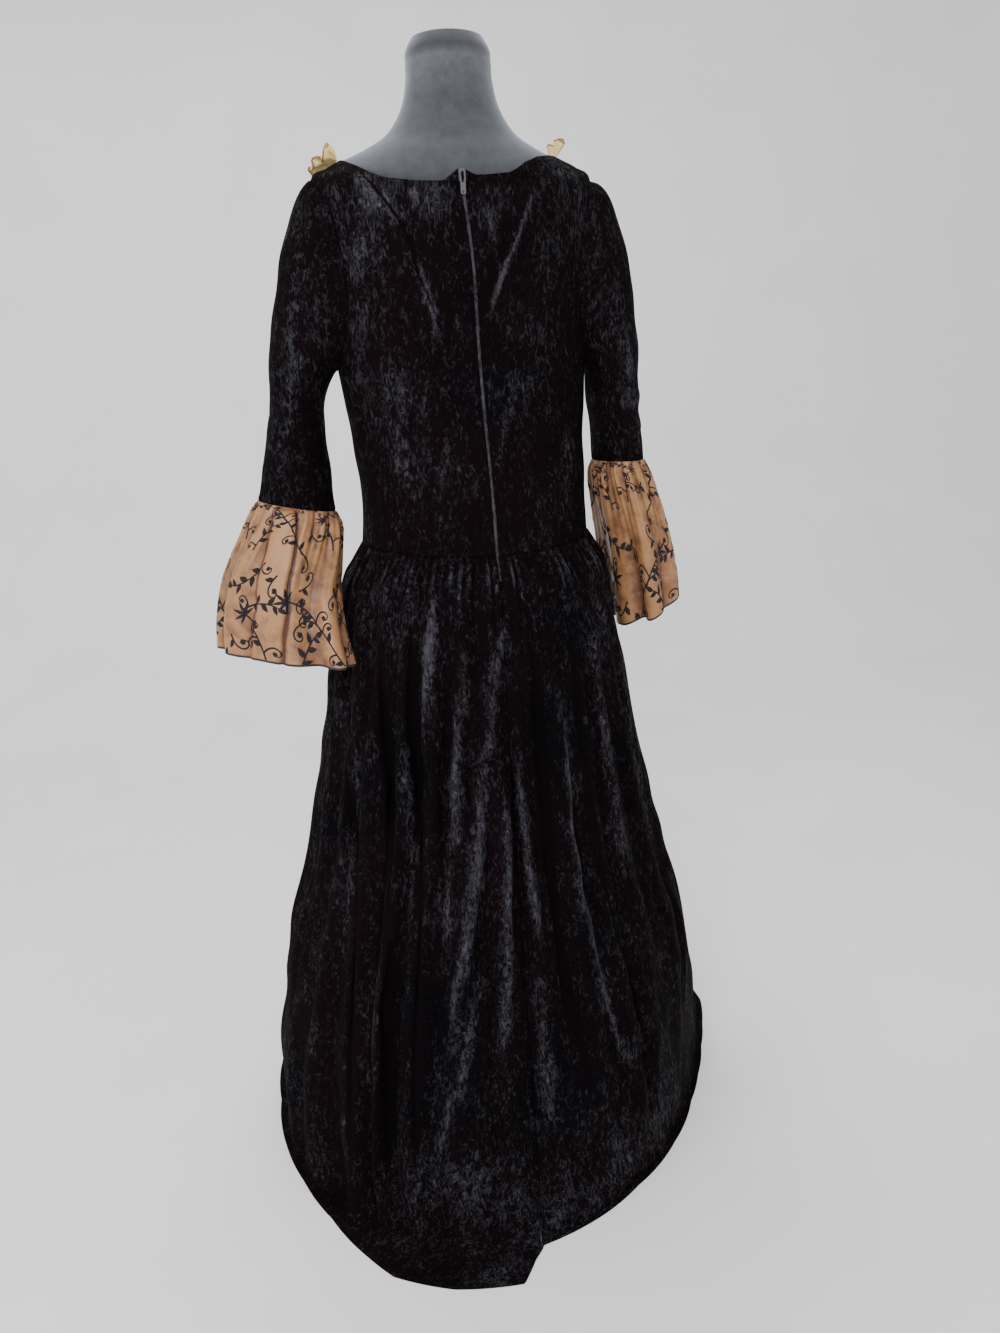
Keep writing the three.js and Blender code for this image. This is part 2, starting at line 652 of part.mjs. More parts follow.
// Ruffle sewn on the front neckline from shoulder to shoulder. Each row has its place up from the neckline, its distance
// off the bodice's face and the size of its waves. On the left shoulder it has tipped over outwards, in front it leans
// out, and on the right shoulder it stands up.
const RUFFLE_THICK = 1;
const RUFFLE_WAVES = 32;
const RUFFLE_STEPS = 2;
const RUFFLE_FROM = 88;
const RUFFLE_TO = 272;
const RUFFLE_ROWS = [
  { wave: 0, rise: [-4, -4, -4], off: [0.2, 0.2, 0.2] },
  { wave: 3, rise: [-12, 8, 3], off: [8, 5, 11] },
  { wave: 6, rise: [-28, 20, 6], off: [11, 11, 26] },
];

function ruffleGeometry() {
  const columns = RUFFLE_WAVES * RUFFLE_STEPS;
  const middle = [];
  for (let i = 0; i <= columns; i++) {
    const angle = THREE.MathUtils.lerp(RUFFLE_FROM, RUFFLE_TO, i / columns) * DEG;
    const edge = bodicePoint(NECK_ROW, angle);
    const out = ringNormal(bodicePoint, NECK_ROW - 0.1, angle);
    const up = edge.clone().sub(bodicePoint(NECK_ROW - 0.2, angle)).normalize();
    const wave = Math.cos((2 * Math.PI * i) / RUFFLE_STEPS);
    const place = (2 * i) / columns;
    const line = RUFFLE_ROWS.map((row) => {
      const off = VELVET / 2 + SEAM + RUFFLE_THICK / 2 + smoothAt(row.off, place) + wave * row.wave;
      return edge.clone().addScaledVector(up, smoothAt(row.rise, place)).addScaledVector(out, off);
    });
    middle.push(line);
  }
  const normals = middle.map((line, i) =>
    line.map((_, j) => {
      const next = middle[Math.min(i + 1, columns)][j];
      const along = next.clone().sub(middle[Math.max(i - 1, 0)][j]);
      const up = line[Math.min(j + 1, line.length - 1)].clone().sub(line[Math.max(j - 1, 0)]);
      return up.cross(along).normalize();
    }),
  );
  return wallGeometry(...bothFaces(middle, normals, RUFFLE_THICK), false);
}

addPiece("neck_ruffle", ruffleGeometry(), finish(0xd9b45f, 0.4));

// Zip at the centre back: a slider that lies on the cloth at the neckline, and its pull tab, which turns in the slider's
// bail. They are laid out flat, with Y out from the cloth and Z up along it, and then set on the back.
const SLIDER_WIDTH = 9;
const SLIDER_HEIGHT = 15;
const SLIDER_THICK = 2.6;
const SLIDER_CORNER = 2;
const SLIDER_BELOW_EDGE = 8;
const BAIL_WIDTH = 2.4;
const BAIL_BAR = 1.2;
const BAIL_ROOM = 2.2;
const BAIL_REACH = 5;
const BAR_PLAY = 0.5;
const TAB_THICK = 1.2;
const TAB_WIDTH = 7;
const TAB_LENGTH = 21;
const TAB_CORNER = 1.4;
const TAB_EYE = [3.2, 5.6];
const TAB_EYE_BAR = 1.2;
const TAB_HOLE_RADIUS = 1.1;

const wasm = await Module();
wasm.setup();

function solidOf(geometry) {
  const bare = geometry.clone();
  bare.deleteAttribute("normal");
  bare.deleteAttribute("uv");
  const merged = mergeVertices(bare, 1e-4);
  const vertProperties = new Float32Array(merged.attributes.position.array);
  return new wasm.Manifold(new wasm.Mesh({ numProp: 3, vertProperties, triVerts: new Uint32Array(merged.index.array) }));
}

function geometryOf(solid) {
  const mesh = solid.getMesh();
  const geometry = new THREE.BufferGeometry();
  geometry.setAttribute("position", new THREE.Float32BufferAttribute(mesh.vertProperties, 3));
  geometry.setIndex([...mesh.triVerts]);
  geometry.computeVertexNormals();
  return geometry;
}

function roundedRectangle(path, low, high, corner) {
  const [x0, z0] = low;
  const [x1, z1] = high;
  path.moveTo(x0 + corner, z0);
  path.lineTo(x1 - corner, z0);
  path.absarc(x1 - corner, z0 + corner, corner, -QUARTER, 0, false);
  path.lineTo(x1, z1 - corner);
  path.absarc(x1 - corner, z1 - corner, corner, 0, QUARTER, false);
  path.lineTo(x0 + corner, z1);
  path.absarc(x0 + corner, z1 - corner, corner, QUARTER, Math.PI, false);
  path.lineTo(x0, z0 + corner);
  path.absarc(x0 + corner, z0 + corner, corner, Math.PI, 3 * QUARTER, false);
  return path;
}

// A flat shape drawn in X and Z, with its thickness from y towards +Y.
function plate(shape, y, thickness) {
  const flat = new THREE.ExtrudeGeometry(shape, { depth: thickness, bevelEnabled: false, curveSegments: 3 });
  return flat.rotateX(QUARTER).translate(0, y + thickness, 0);
}

function sliderGeometry() {
  const under = VELVET / 2 + SEAM;
  const corner = [SLIDER_WIDTH / 2, SLIDER_HEIGHT / 2];
  const outline = roundedRectangle(new THREE.Shape(), corner.map((c) => -c), corner, SLIDER_CORNER);
  const body = plate(outline, under, SLIDER_THICK);
  const foot = under + SLIDER_THICK - SEAM;
  const top = under + SLIDER_THICK + BAIL_ROOM + BAIL_BAR;
  const arch = new THREE.Shape();
  arch.moveTo(-BAIL_REACH, foot);
  arch.lineTo(BAIL_REACH, foot);
  arch.lineTo(BAIL_REACH, top - BAIL_BAR);
  arch.lineTo(BAIL_REACH - BAIL_BAR, top);
  arch.lineTo(-BAIL_REACH + BAIL_BAR, top);
  arch.lineTo(-BAIL_REACH, top - BAIL_BAR);
  const room = new THREE.Path();
  room.moveTo(-BAIL_REACH + BAIL_BAR, under + SLIDER_THICK);
  room.lineTo(-BAIL_REACH + BAIL_BAR, top - BAIL_BAR);
  room.lineTo(BAIL_REACH - BAIL_BAR, top - BAIL_BAR);
  room.lineTo(BAIL_REACH - BAIL_BAR, under + SLIDER_THICK);
  arch.holes.push(room);
  const bail = new THREE.ExtrudeGeometry(arch, { depth: BAIL_WIDTH, bevelEnabled: false });
  bail.applyMatrix4(new THREE.Matrix4().set(0, 0, 1, -BAIL_WIDTH / 2, 0, 1, 0, 0, -1, 0, 0, 0, 0, 0, 0, 1));
  return geometryOf(solidOf(body).add(solidOf(bail)));
}

// The tab's turning line runs through the middle of its top bar.
const TAB_PIVOT = {
  y: VELVET / 2 + SEAM + SLIDER_THICK + BAIL_ROOM / 2,
  z: -BAIL_REACH + BAIL_BAR + BAR_PLAY + TAB_EYE_BAR / 2,
};

function tabGeometry() {
  const top = TAB_EYE_BAR / 2;
  const low = [-TAB_WIDTH / 2, top - TAB_LENGTH];
  const outline = roundedRectangle(new THREE.Shape(), low, [TAB_WIDTH / 2, top], TAB_CORNER);
  const [eyeWide, eyeHigh] = TAB_EYE;
  const eye = roundedRectangle(new THREE.Path(), [-eyeWide / 2, -top - eyeHigh], [eyeWide / 2, -top], 0.6);
  const hole = new THREE.Path();
  hole.absarc(0, low[1] + TAB_HOLE_RADIUS + 1.6, TAB_HOLE_RADIUS, 0, 2 * Math.PI, false);
  outline.holes.push(eye, hole);
  return plate(outline, -TAB_THICK / 2, TAB_THICK).translate(0, TAB_PIVOT.y, TAB_PIVOT.z);
}

const zipTop = bodicePoint(NECK_ROW, backSeamAngle(NECK_ROW));
const zipUp = zipTop.clone().sub(bodicePoint(NECK_ROW - 1, backSeamAngle(NECK_ROW - 1))).normalize();
const zipAcross = vec(0, 1, 0).cross(zipUp).normalize();
const zipOut = zipUp.clone().cross(zipAcross);
const zip = new THREE.Group();
zip.position.copy(zipTop).addScaledVector(zipUp, -SLIDER_BELOW_EDGE);
zip.quaternion.setFromRotationMatrix(new THREE.Matrix4().makeBasis(zipAcross, zipOut, zipUp));
dress.add(zip);

const chrome = finish(0xc9ccd1, 0.25, 1);
const slider = new THREE.Mesh(sliderGeometry(), chrome);
slider.name = "zip_slider";
const tab = new THREE.Mesh(tabGeometry(), chrome);
tab.name = "zip_pull_tab";
zip.add(slider, tab);

export default dress;
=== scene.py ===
"""A long crushed-velvet costume dress with gathered skirt, short train and bell cuffs, on a
limbless dress form.

Metres, +Z up, origin under the middle of the stand's foot plate. The wearer faces -Y, the zip is on
+Y and the wearer's left is +X. Plan angles start at the centre back and turn towards the wearer's
left. Tables are in millimetres.
"""

import math

import bpy
import numpy as np
from mathutils import Matrix


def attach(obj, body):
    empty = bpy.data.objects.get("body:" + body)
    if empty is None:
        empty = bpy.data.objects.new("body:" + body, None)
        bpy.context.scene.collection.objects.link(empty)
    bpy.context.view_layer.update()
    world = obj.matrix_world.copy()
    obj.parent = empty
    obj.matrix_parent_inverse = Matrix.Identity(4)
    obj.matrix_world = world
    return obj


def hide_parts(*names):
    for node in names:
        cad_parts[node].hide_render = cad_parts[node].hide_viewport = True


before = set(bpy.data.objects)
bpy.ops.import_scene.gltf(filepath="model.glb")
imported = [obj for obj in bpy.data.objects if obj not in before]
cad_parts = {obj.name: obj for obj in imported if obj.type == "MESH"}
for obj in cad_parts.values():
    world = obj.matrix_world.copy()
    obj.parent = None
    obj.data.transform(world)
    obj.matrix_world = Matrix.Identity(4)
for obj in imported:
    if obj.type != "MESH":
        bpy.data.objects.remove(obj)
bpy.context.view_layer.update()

# The dress form: a smooth padded torso and neck without limbs, covered in dark slate jersey. It is
# turned from rings, half an ellipse behind and half in front, with a darker rolled rim round its
# rounded, flat top.
MM = 0.001
# Rings: half width and its height, depth in front and its height, depth behind and its height.
SHOULDER_RINGS = [
    [171, 1440, 117, 1318, 97, 1407],
    [149, 1451, 112, 1335, 93, 1424],
    [118, 1465, 91, 1382, 81, 1449],
    [88, 1484, 66, 1432, 66, 1474],
]
FORM_RINGS = [
    [150, 832, 99, 832, 112, 832],
    [157, 862, 103, 862, 118, 862],
    [145, 930, 101, 930, 108, 930],
    [124, 1035, 92, 1035, 84, 1035],
    [137, 1110, 106, 1110, 88, 1110],
    [150, 1205, 127, 1190, 95, 1195],
    [160, 1290, 126, 1235, 98, 1280],
    [176, 1376, 122, 1270, 99, 1343],
    [184, 1421, 117, 1298, 96, 1386],
    *SHOULDER_RINGS,
    [67, 1515, 54, 1490, 56, 1510],
    [58, 1550, 52, 1545, 54, 1550],
    [57, 1580, 53, 1580, 55, 1580],
    [48, 1598, 45, 1598, 46, 1598],
]
FORM_COLUMNS = 144
FORM_STEPS = 6


def through(table, rows):
    """Entries of a table at fractional rows: a smooth cubic through each entry, with slopes from
    its two neighbours."""
    table = np.asarray(table, float)
    rows = np.asarray(rows, float)
    last = len(table) - 1
    i = np.clip(np.floor(rows).astype(int), 0, last - 1)
    f = (rows - i).reshape(rows.shape + (1,) * (table.ndim - 1))
    a, b, c, d = (table[np.clip(i + k, 0, last)] for k in (-1, 0, 1, 2))
    f2, f3 = f * f, f * f * f
    leave, land = (c - a) / 2, (d - b) / 2
    ends = b * (2 * f3 - 3 * f2 + 1) + c * (3 * f2 - 2 * f3)
    return ends + leave * (f3 - 2 * f2 + f) + land * (f3 - f2)


def ring_points(rings, rows, angles):
    """Points on a ring table: x = half width times sine, y = depth times cosine, and z blends by
    the sine squared."""
    at = through(rings, rows)
    sine, cosine = np.sin(angles), np.cos(angles)
    half_width, side_z, front_depth, front_z, back_depth, back_z = np.moveaxis(at, -1, 0)
    depth = np.where(cosine > 0, back_depth, front_depth)
    middle_z = np.where(cosine > 0, back_z, front_z)
    return np.stack([half_width * sine, depth * cosine, side_z * sine**2 + middle_z * cosine**2], -1)


def outward(points, closed=False):
    """Unit normals of a grid[column, row]: the step up the rows crossed with the step round the
    columns."""
    if closed:
        ring = np.concatenate([points[-1:], points, points[:1]])
        along = ring[2:] - ring[:-2]
    else:
        along = np.gradient(points, axis=0)
    normal = np.cross(np.gradient(points, axis=1), along)
    return normal / np.maximum(np.linalg.norm(normal, axis=-1, keepdims=True), 1e-9)


def build_mesh(name, vertices, quads, material, uv=None, marks=None):
    """An object from arrays: vertices in millimetres, four-cornered faces (a triangle repeats its
    last corner), a UV value for each vertex and named numbers for each vertex. Faces are turned so
    that the enclosed volume is positive."""
    vertices = np.asarray(vertices, float).reshape(-1, 3) * MM
    corner = vertices[quads]
    one = np.einsum("ij,ij->i", corner[:, 0], np.cross(corner[:, 1], corner[:, 2]))
    two = np.einsum("ij,ij->i", corner[:, 0], np.cross(corner[:, 2], corner[:, 3]))
    if (one + two).sum() < 0:
        quads = quads[:, ::-1]
    sides = np.where(quads[:, 2] == quads[:, 3], 3, 4)
    if (sides == 3).any():
        keep = np.ones(quads.shape, bool)
        keep[sides == 3, 3] = False
        loops = quads[keep]
    else:
        loops = quads.ravel()
    starts = np.concatenate([[0], np.cumsum(sides)[:-1]])
    mesh = bpy.data.meshes.new(name)
    mesh.vertices.add(len(vertices))
    mesh.vertices.foreach_set("co", vertices.ravel())
    mesh.loops.add(len(loops))
    mesh.loops.foreach_set("vertex_index", loops.astype(np.int32))
    mesh.polygons.add(len(quads))
    mesh.polygons.foreach_set("loop_start", starts.astype(np.int32))
    mesh.polygons.foreach_set("use_smooth", np.ones(len(quads), bool))
    mesh.update(calc_edges=True)
    if uv is not None:
        layer = mesh.uv_layers.new(name="UVMap")
        layer.data.foreach_set("uv", np.asarray(uv, float).reshape(-1, 2)[loops].ravel())
    for title, values in (marks or {}).items():
        mark = mesh.attributes.new(title, "FLOAT", "POINT")
        mark.data.foreach_set("value", np.asarray(values, np.float32).ravel())
    mesh.materials.append(material)
    piece = bpy.data.objects.new(name, mesh)
    bpy.context.scene.collection.objects.link(piece)
    return piece


def node(tree, kind, **values):
    """One shader node: plain values set its options, and values named for a socket set or link that
    socket."""
    made = tree.nodes.new(kind)
    for key, value in values.items():
        if hasattr(made, key):
            setattr(made, key, value)
            continue
        socket = made.inputs[int(key[1:])] if key[0] == "_" else made.inputs[key.replace("_", " ")]
        if isinstance(value, bpy.types.NodeSocket):
            tree.links.new(value, socket)
        else:
            socket.default_value = value
    return made


def new_material(name, **sockets):
    """A material with one shader, whose constant values are set on the shader's own sockets."""
    material = bpy.data.materials.new(name)
    material.use_nodes = True
    shader = material.node_tree.nodes["Principled BSDF"]
    for key, value in sockets.items():
        shader.inputs[key.replace("_", " ")].default_value = value
    return material, material.node_tree, shader


def ramp(tree, value, stops):
    """A run of greys or colours between (place, grey or colour) stops, read at a value from 0 to
    1."""
    made = tree.nodes.new("ShaderNodeValToRGB")
    while len(made.color_ramp.elements) < len(stops):
        made.color_ramp.elements.new(0.5)
    for element, (place, shade) in zip(made.color_ramp.elements, stops):
        element.position = place
        element.color = (*shade, 1) if hasattr(shade, "__len__") else (shade, shade, shade, 1)
    tree.links.new(value, made.inputs["Fac"])
    return made.outputs["Color"]


def noise(tree, where, scale, detail=3.0, roughness=0.5, distortion=0.0):
    """Cloudy values from 0 to 1 at the given places."""
    made = node(tree, "ShaderNodeTexNoise", Vector=where, Scale=scale, Detail=detail, Roughness=roughness)
    made.inputs["Distortion"].default_value = distortion
    return made.outputs["Fac"]


def place(tree, scale=(1, 1, 1), turn=(0, 0, 0)):
    """The piece's own coordinates in metres, stretched and turned."""
    own = tree.nodes.new("ShaderNodeTexCoord").outputs["Object"]
    return node(tree, "ShaderNodeMapping", Vector=own, Scale=scale, Rotation=turn).outputs["Vector"]


def bump(tree, shader, height, strength, distance):
    """Fine relief on a shader: the height's slope, in metres, tilts the surface."""
    made = node(tree, "ShaderNodeBump", Height=height, Strength=strength, Distance=distance)
    tree.links.new(made.outputs["Normal"], shader.inputs["Normal"])


def form_cover():
    """Slate jersey: a fine knit, a cloudy layer of dust, a paler band high on the neck and a darker
    rim on top."""
    material, tree, shader = new_material(
        "slate_jersey",
        Roughness=0.92,
        Sheen_Weight=0.55,
        Sheen_Roughness=0.5,
        Sheen_Tint=(0.75, 0.8, 0.9, 1),
    )
    own = tree.nodes.new("ShaderNodeTexCoord").outputs["Object"]
    height = node(tree, "ShaderNodeSeparateXYZ", Vector=own).outputs["Z"]
    spread = node(tree, "ShaderNodeMapRange", Value=height)
    spread.inputs["From Min"].default_value = 1.40
    spread.inputs["From Max"].default_value = 1.60
    slate = ramp(
        tree,
        spread.outputs["Result"],
        [
            (0, (0.035, 0.039, 0.046)),
            (0.6, (0.042, 0.046, 0.053)),
            (0.84, (0.075, 0.08, 0.088)),
            (0.9, (0.028, 0.03, 0.034)),
        ],
    )
    dust = ramp(tree, noise(tree, place(tree), 60, 5, 0.7), [(0.35, 0.75), (0.75, 1.35)])
    mixed = node(tree, "ShaderNodeMix", data_type="RGBA", blend_type="MULTIPLY")
    mixed.inputs["Factor"].default_value = 1
    tree.links.new(slate, mixed.inputs[6])
    tree.links.new(dust, mixed.inputs[7])
    tree.links.new(mixed.outputs[2], shader.inputs["Base Color"])
    bump(tree, shader, noise(tree, place(tree, (1, 1, 0.5)), 1400, 2), 0.35, 0.0006)
    return material


def form_mesh():
    """The ring surface in fine steps, closed by a fan of triangles at the foot and on the crown."""
    rows = np.linspace(0, len(FORM_RINGS) - 1, FORM_STEPS * (len(FORM_RINGS) - 1) + 1)
    angles = np.arange(FORM_COLUMNS) / FORM_COLUMNS * 2 * np.pi
    angle, row = np.meshgrid(angles, rows, indexing="ij")
    points = ring_points(FORM_RINGS, row, angle)
    bead = 1.2 * np.exp(-(((points[..., 2] - 1573) / 2.5) ** 2))
    points = points + outward(points, True) * (-bead)[..., None]
    count = len(rows)
    i, j = np.meshgrid(np.arange(FORM_COLUMNS), np.arange(count - 1), indexing="ij")
    i, j = i.ravel(), j.ravel()
    beside = (i + 1) % FORM_COLUMNS
    quads = np.stack([i * count + j, i * count + j + 1, beside * count + j + 1, beside * count + j], -1)
    foot, crown = FORM_COLUMNS * count, FORM_COLUMNS * count + 1
    k = np.arange(FORM_COLUMNS)
    after = (k + 1) % FORM_COLUMNS
    at_foot, at_crown = np.full_like(k, foot), np.full_like(k, crown)
    low = np.stack([k * count, after * count, at_foot, at_foot], -1)
    top = np.stack([after * count + count - 1, k * count + count - 1, at_crown, at_crown], -1)
    ends = [[0, 0, FORM_RINGS[0][1]], [0, 0, FORM_RINGS[-1][1]]]
    return np.concatenate([points.reshape(-1, 3), ends]), np.concatenate([quads, low, top])


BODY = "dress_and_stand"
form = build_mesh("form", *form_mesh(), form_cover())
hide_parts("dress_form")
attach(form, BODY)

# The stand: a round steel pole and a round foot plate, powder-coated black. They keep their solid
# shape, and the coat has the fine orange-peel grain of powder paint with a few dull scuffs.


def powder_coat():
    """Black powder coat: fine orange-peel bumps, and scuffs that change the gloss."""
    material, tree, shader = new_material("black_powder_coat", Metallic=0.0, IOR=1.5)
    shader.inputs["Base Color"].default_value = (0.02, 0.02, 0.022, 1)
    scuffs = ramp(tree, noise(tree, place(tree), 25, 6, 0.6), [(0.4, 0.38), (0.7, 0.6)])
    tree.links.new(scuffs, shader.inputs["Roughness"])
    bump(tree, shader, noise(tree, place(tree), 900, 2), 0.3, 0.0004)
    return material


coat = powder_coat()
for stand_node in ("stand_pole", "stand_base"):
    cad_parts[stand_node].data.materials.clear()
    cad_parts[stand_node].data.materials.append(coat)

# The bodice: a front and two backs of crushed velvet, sewn at the sides and shoulders and closed by
# the back zip. It is seated on the form's shoulders, and drag lines run from the shoulders towards
# the zip where it pulls.
VELVET = 1.8
SEAM = 0.3
SEATED = 0.7 + VELVET / 2
BODICE_RINGS = [
    [169, 942, 128, 936, 132, 930],
    [166, 990, 121, 988, 121, 986],
    [167, 1045, 116, 1045, 112, 1045],
    [171, 1110, 126, 1110, 108, 1110],
    [178, 1186, 142, 1182, 107, 1184],
    [180, 1245, 141, 1213, 108, 1240],
    [183, 1308, 137, 1244, 109, 1295],
    [188, 1375, 130, 1272, 106, 1345],
    [191, 1427, 121, 1300, 100, 1390],
    *SHOULDER_RINGS,
]
UNDERARM_ROW, TIP_ROW, NECK_ROW = 4, 8, 10
ARMHOLE_MIDDLE = (UNDERARM_ROW + TIP_ROW) / 2
ARMHOLE_REACH = (TIP_ROW - UNDERARM_ROW) / 2
BELOW_STEPS, ARMHOLE_STEPS, ABOVE_STEPS = 57, 53, 37
FRONT_COLUMNS, BACK_COLUMNS = 141, 107
ARMHOLE_ANGLE = math.radians(28)
BACK_SEAM_SWING = math.radians(3.8)
SLACK = 5
# How far each ring is moved across: the dress hangs a little to the wearer's right below the arms.
SWAY = [[-8], [-9], [-8], [-5], [-1.5], [0], [0], [0], [0], [0], [0], [0], [0]]
# The neckline's rise or dip along the body, in ring rows, by plan angle in degrees.
NECKLINE_SHIFT = [
    [-180, 0], [-90, 0.3], [-45, 0.32], [-32, 0.1], [-20, -0.4], [-3, -0.45], [2, -0.1], [6, -0.1],
    [12, -0.95], [24, -1.15], [37, -1.3], [54, -0.75], [73, -0.3], [90, -0.1], [103, -0.6],
    [125, -0.6], [150, -0.2], [180, 0],
]
# Drag lines on the bodice: height and half width in millimetres, the lean, then the points each
# runs through. A line with a negative height is a trough.
BACK_DRAGS = [
    (4.0, 9, 0.3, [[146, 44, 1436], [140, 66, 1420], [117, 84, 1385], [95, 94, 1346], [86, 98, 1303],
        [70, 103, 1259], [58, 106, 1211]]),
    (-3.4, 3.2, 0.5, [[140, 52, 1436], [131, 73, 1420], [105, 89, 1385], [83, 98, 1346], [74, 101, 1303],
        [58, 105, 1259], [46, 108, 1211], [30, 110, 1140]]),
    (3.0, 9, -0.3, [[-58, 95, 1432], [-50, 105, 1405], [-30, 110, 1375], [-12, 112, 1335]]),
    (4.2, 5, -0.3, [[-98, 90, 1425], [-92, 95, 1407], [-66, 104, 1350], [-34, 110, 1289], [-13, 112, 1226],
        [-4, 112, 1180]]),
    (-2.6, 10, 0, [[-78, 96, 1400], [-52, 104, 1345], [-24, 110, 1280], [-8, 112, 1215]]),
    (2.4, 12, 0.2, [[-34, 110, 1160], [-32, 110, 1125], [-24, 112, 1080], [-18, 112, 1032],
        [-14, 116, 990]]),
    (2.2, 13, 0, [[-140, 66, 1100], [-132, 71, 1078], [-126, 78, 1040], [-121, 80, 999], [-112, 90, 960]]),
    (2.4, 14, 0.3, [[150, 55, 1080], [136, 72, 1050], [112, 88, 1020], [80, 104, 995], [50, 115, 978]]),
    (-2.2, 15, 0, [[158, 40, 1150], [150, 60, 1120], [128, 78, 1085], [96, 96, 1060]]),
    (-2.4, 14, 0, [[-160, 30, 1130], [-150, 55, 1098], [-120, 80, 1070], [-84, 98, 1050]]),
    (2.0, 16, 0, [[100, 92, 1170], [74, 102, 1120], [52, 108, 1070], [38, 112, 1020]]),
    (2.0, 16, 0, [[-96, 92, 1190], [-80, 99, 1130], [-66, 104, 1080], [-52, 108, 1030]]),
]
FRONT_DRAGS = [
    (3.2, 12, 0.2, [[-150, -75, 1285], [-120, -105, 1250], [-84, -126, 1205], [-60, -132, 1160]]),
    (3.2, 12, -0.2, [[152, -72, 1290], [124, -100, 1252], [90, -124, 1212], [62, -132, 1165]]),
    (-2.4, 15, 0, [[-100, -95, 1120], [-80, -108, 1075], [-66, -108, 1030]]),
    (-2.4, 15, 0, [[104, -92, 1125], [84, -106, 1080], [66, -108, 1030]]),
    (2.4, 14, 0.3, [[-160, -20, 1090], [-146, -60, 1060], [-112, -90, 1030], [-70, -112, 1005]]),
    (2.4, 14, -0.3, [[161, -18, 1100], [148, -60, 1066], [114, -90, 1034], [66, -113, 1008]]),
    (2.0, 16, 0, [[-20, -138, 1180], [-14, -128, 1110], [-18, -117, 1050], [-30, -122, 980]]),
    (2.0, 16, 0, [[28, -138, 1180], [20, -128, 1110], [26, -117, 1050], [36, -122, 980]]),
    (2.2, 10, 0, [[-64, -112, 1330], [-52, -126, 1290], [-34, -138, 1240]]),
    (2.2, 10, 0, [[66, -112, 1330], [50, -126, 1290], [30, -138, 1240]]),
]

# Places where the pile is pressed and painted lighter as the highlight on a crest: an amount, half
# width and lean, then the points that each streak runs through. Where the amount is negative the
# pile stands and is darker, as painted shade along a crease.
BODICE_PRESS_AND_LIGHT_STREAKS = [
    (-2.2, 1.9, 0, [[140, 52, 1436], [131, 73, 1420], [105, 89, 1385], [83, 98, 1346], [74, 101, 1303],
        [58, 105, 1259], [46, 108, 1211]]),
    (-1.8, 2, 0, [[-100, 91, 1412], [-88, 97, 1390], [-70, 103, 1350], [-40, 109, 1286], [-20, 112, 1236]]),
    (1.4, 6, -0.4, [[78, 100, 1330], [66, 103, 1290], [54, 106, 1250], [44, 108, 1205]]),
    (0.45, 9, -0.3, [[138, 62, 1428], [128, 76, 1415], [110, 87, 1392], [90, 96, 1358]]),
    (2.1, 4.2, 0, [[-94, 93, 1412], [-84, 98, 1390], [-66, 104, 1350], [-50, 107, 1320], [-34, 110, 1289],
        [-20, 112, 1252], [-13, 112, 1222]]),
    (0.7, 9, 0, [[-60, 104, 1412], [-42, 108, 1392], [-28, 111, 1362], [-22, 112, 1330]]),
    (0.5, 7, 0, [[-34, 110, 1130], [-30, 111, 1100], [-22, 112, 1060], [-18, 112, 1030]]),
    (0.55, 10, 0, [[-136, 68, 1090], [-130, 74, 1060], [-124, 78, 1025], [-118, 84, 990]]),
    (0.5, 12, 0, [[128, 76, 1120], [120, 84, 1080], [108, 92, 1040], [92, 102, 1000]]),
    (0.5, 10, 0, [[-150, -75, 1285], [-120, -105, 1250], [-84, -126, 1205]]),
    (0.5, 10, 0, [[152, -72, 1290], [124, -100, 1252], [90, -124, 1212]]),
    (0.45, 12, 0, [[-40, -130, 1160], [-34, -120, 1100], [-40, -116, 1040]]),
    (0.45, 12, 0, [[44, -130, 1150], [38, -120, 1090], [46, -116, 1030]]),
]
# How upright the pile is between them.
BODICE_UPRIGHT = 0.28
# Wider pressed clouds, painted lighter as broad highlights: amount, radius and middle.
BODICE_PRESS_AND_LIGHT_CLOUDS = [
    (0.75, 44, [128, 72, 1395]),
    (0.5, 50, [142, 66, 1330]),
    (0.6, 40, [60, 100, 1395]),
    (0.42, 44, [150, 60, 1240]),
    (0.45, 50, [120, 80, 1150]),
    (0.4, 46, [92, 96, 1060]),
    (0.5, 46, [-128, 72, 1405]),
    (0.45, 44, [-156, 50, 1370]),
    (0.4, 40, [-110, 88, 1330]),
    (0.32, 40, [-90, 96, 1220]),
    (0.3, 38, [-60, 104, 1150]),
    (0.4, 34, [-20, 112, 1375]),
    (0.4, 46, [-110, -96, 1330]),
    (0.4, 46, [112, -96, 1320]),
    (0.4, 50, [-70, -120, 1180]),
    (0.4, 50, [64, -122, 1120]),
    (0.35, 44, [-10, -128, 1250]),
]


def clouds(points, spots):
    """The largest of several round bells: for each, its amount times exp of minus the squared
    distance over radius."""
    most = np.zeros(points.shape[:-1])
    for amount, radius, middle in spots:
        apart = np.linalg.norm(points - np.array(middle, float), axis=-1)
        most = np.maximum(most, amount * np.exp(-((apart / radius) ** 2)))
    return most


def soft_step(value, low, high):
    """0 below low, 1 above high, and an S curve between."""
    f = np.clip((value - low) / (high - low), 0, 1)
    return f * f * (3 - 2 * f)


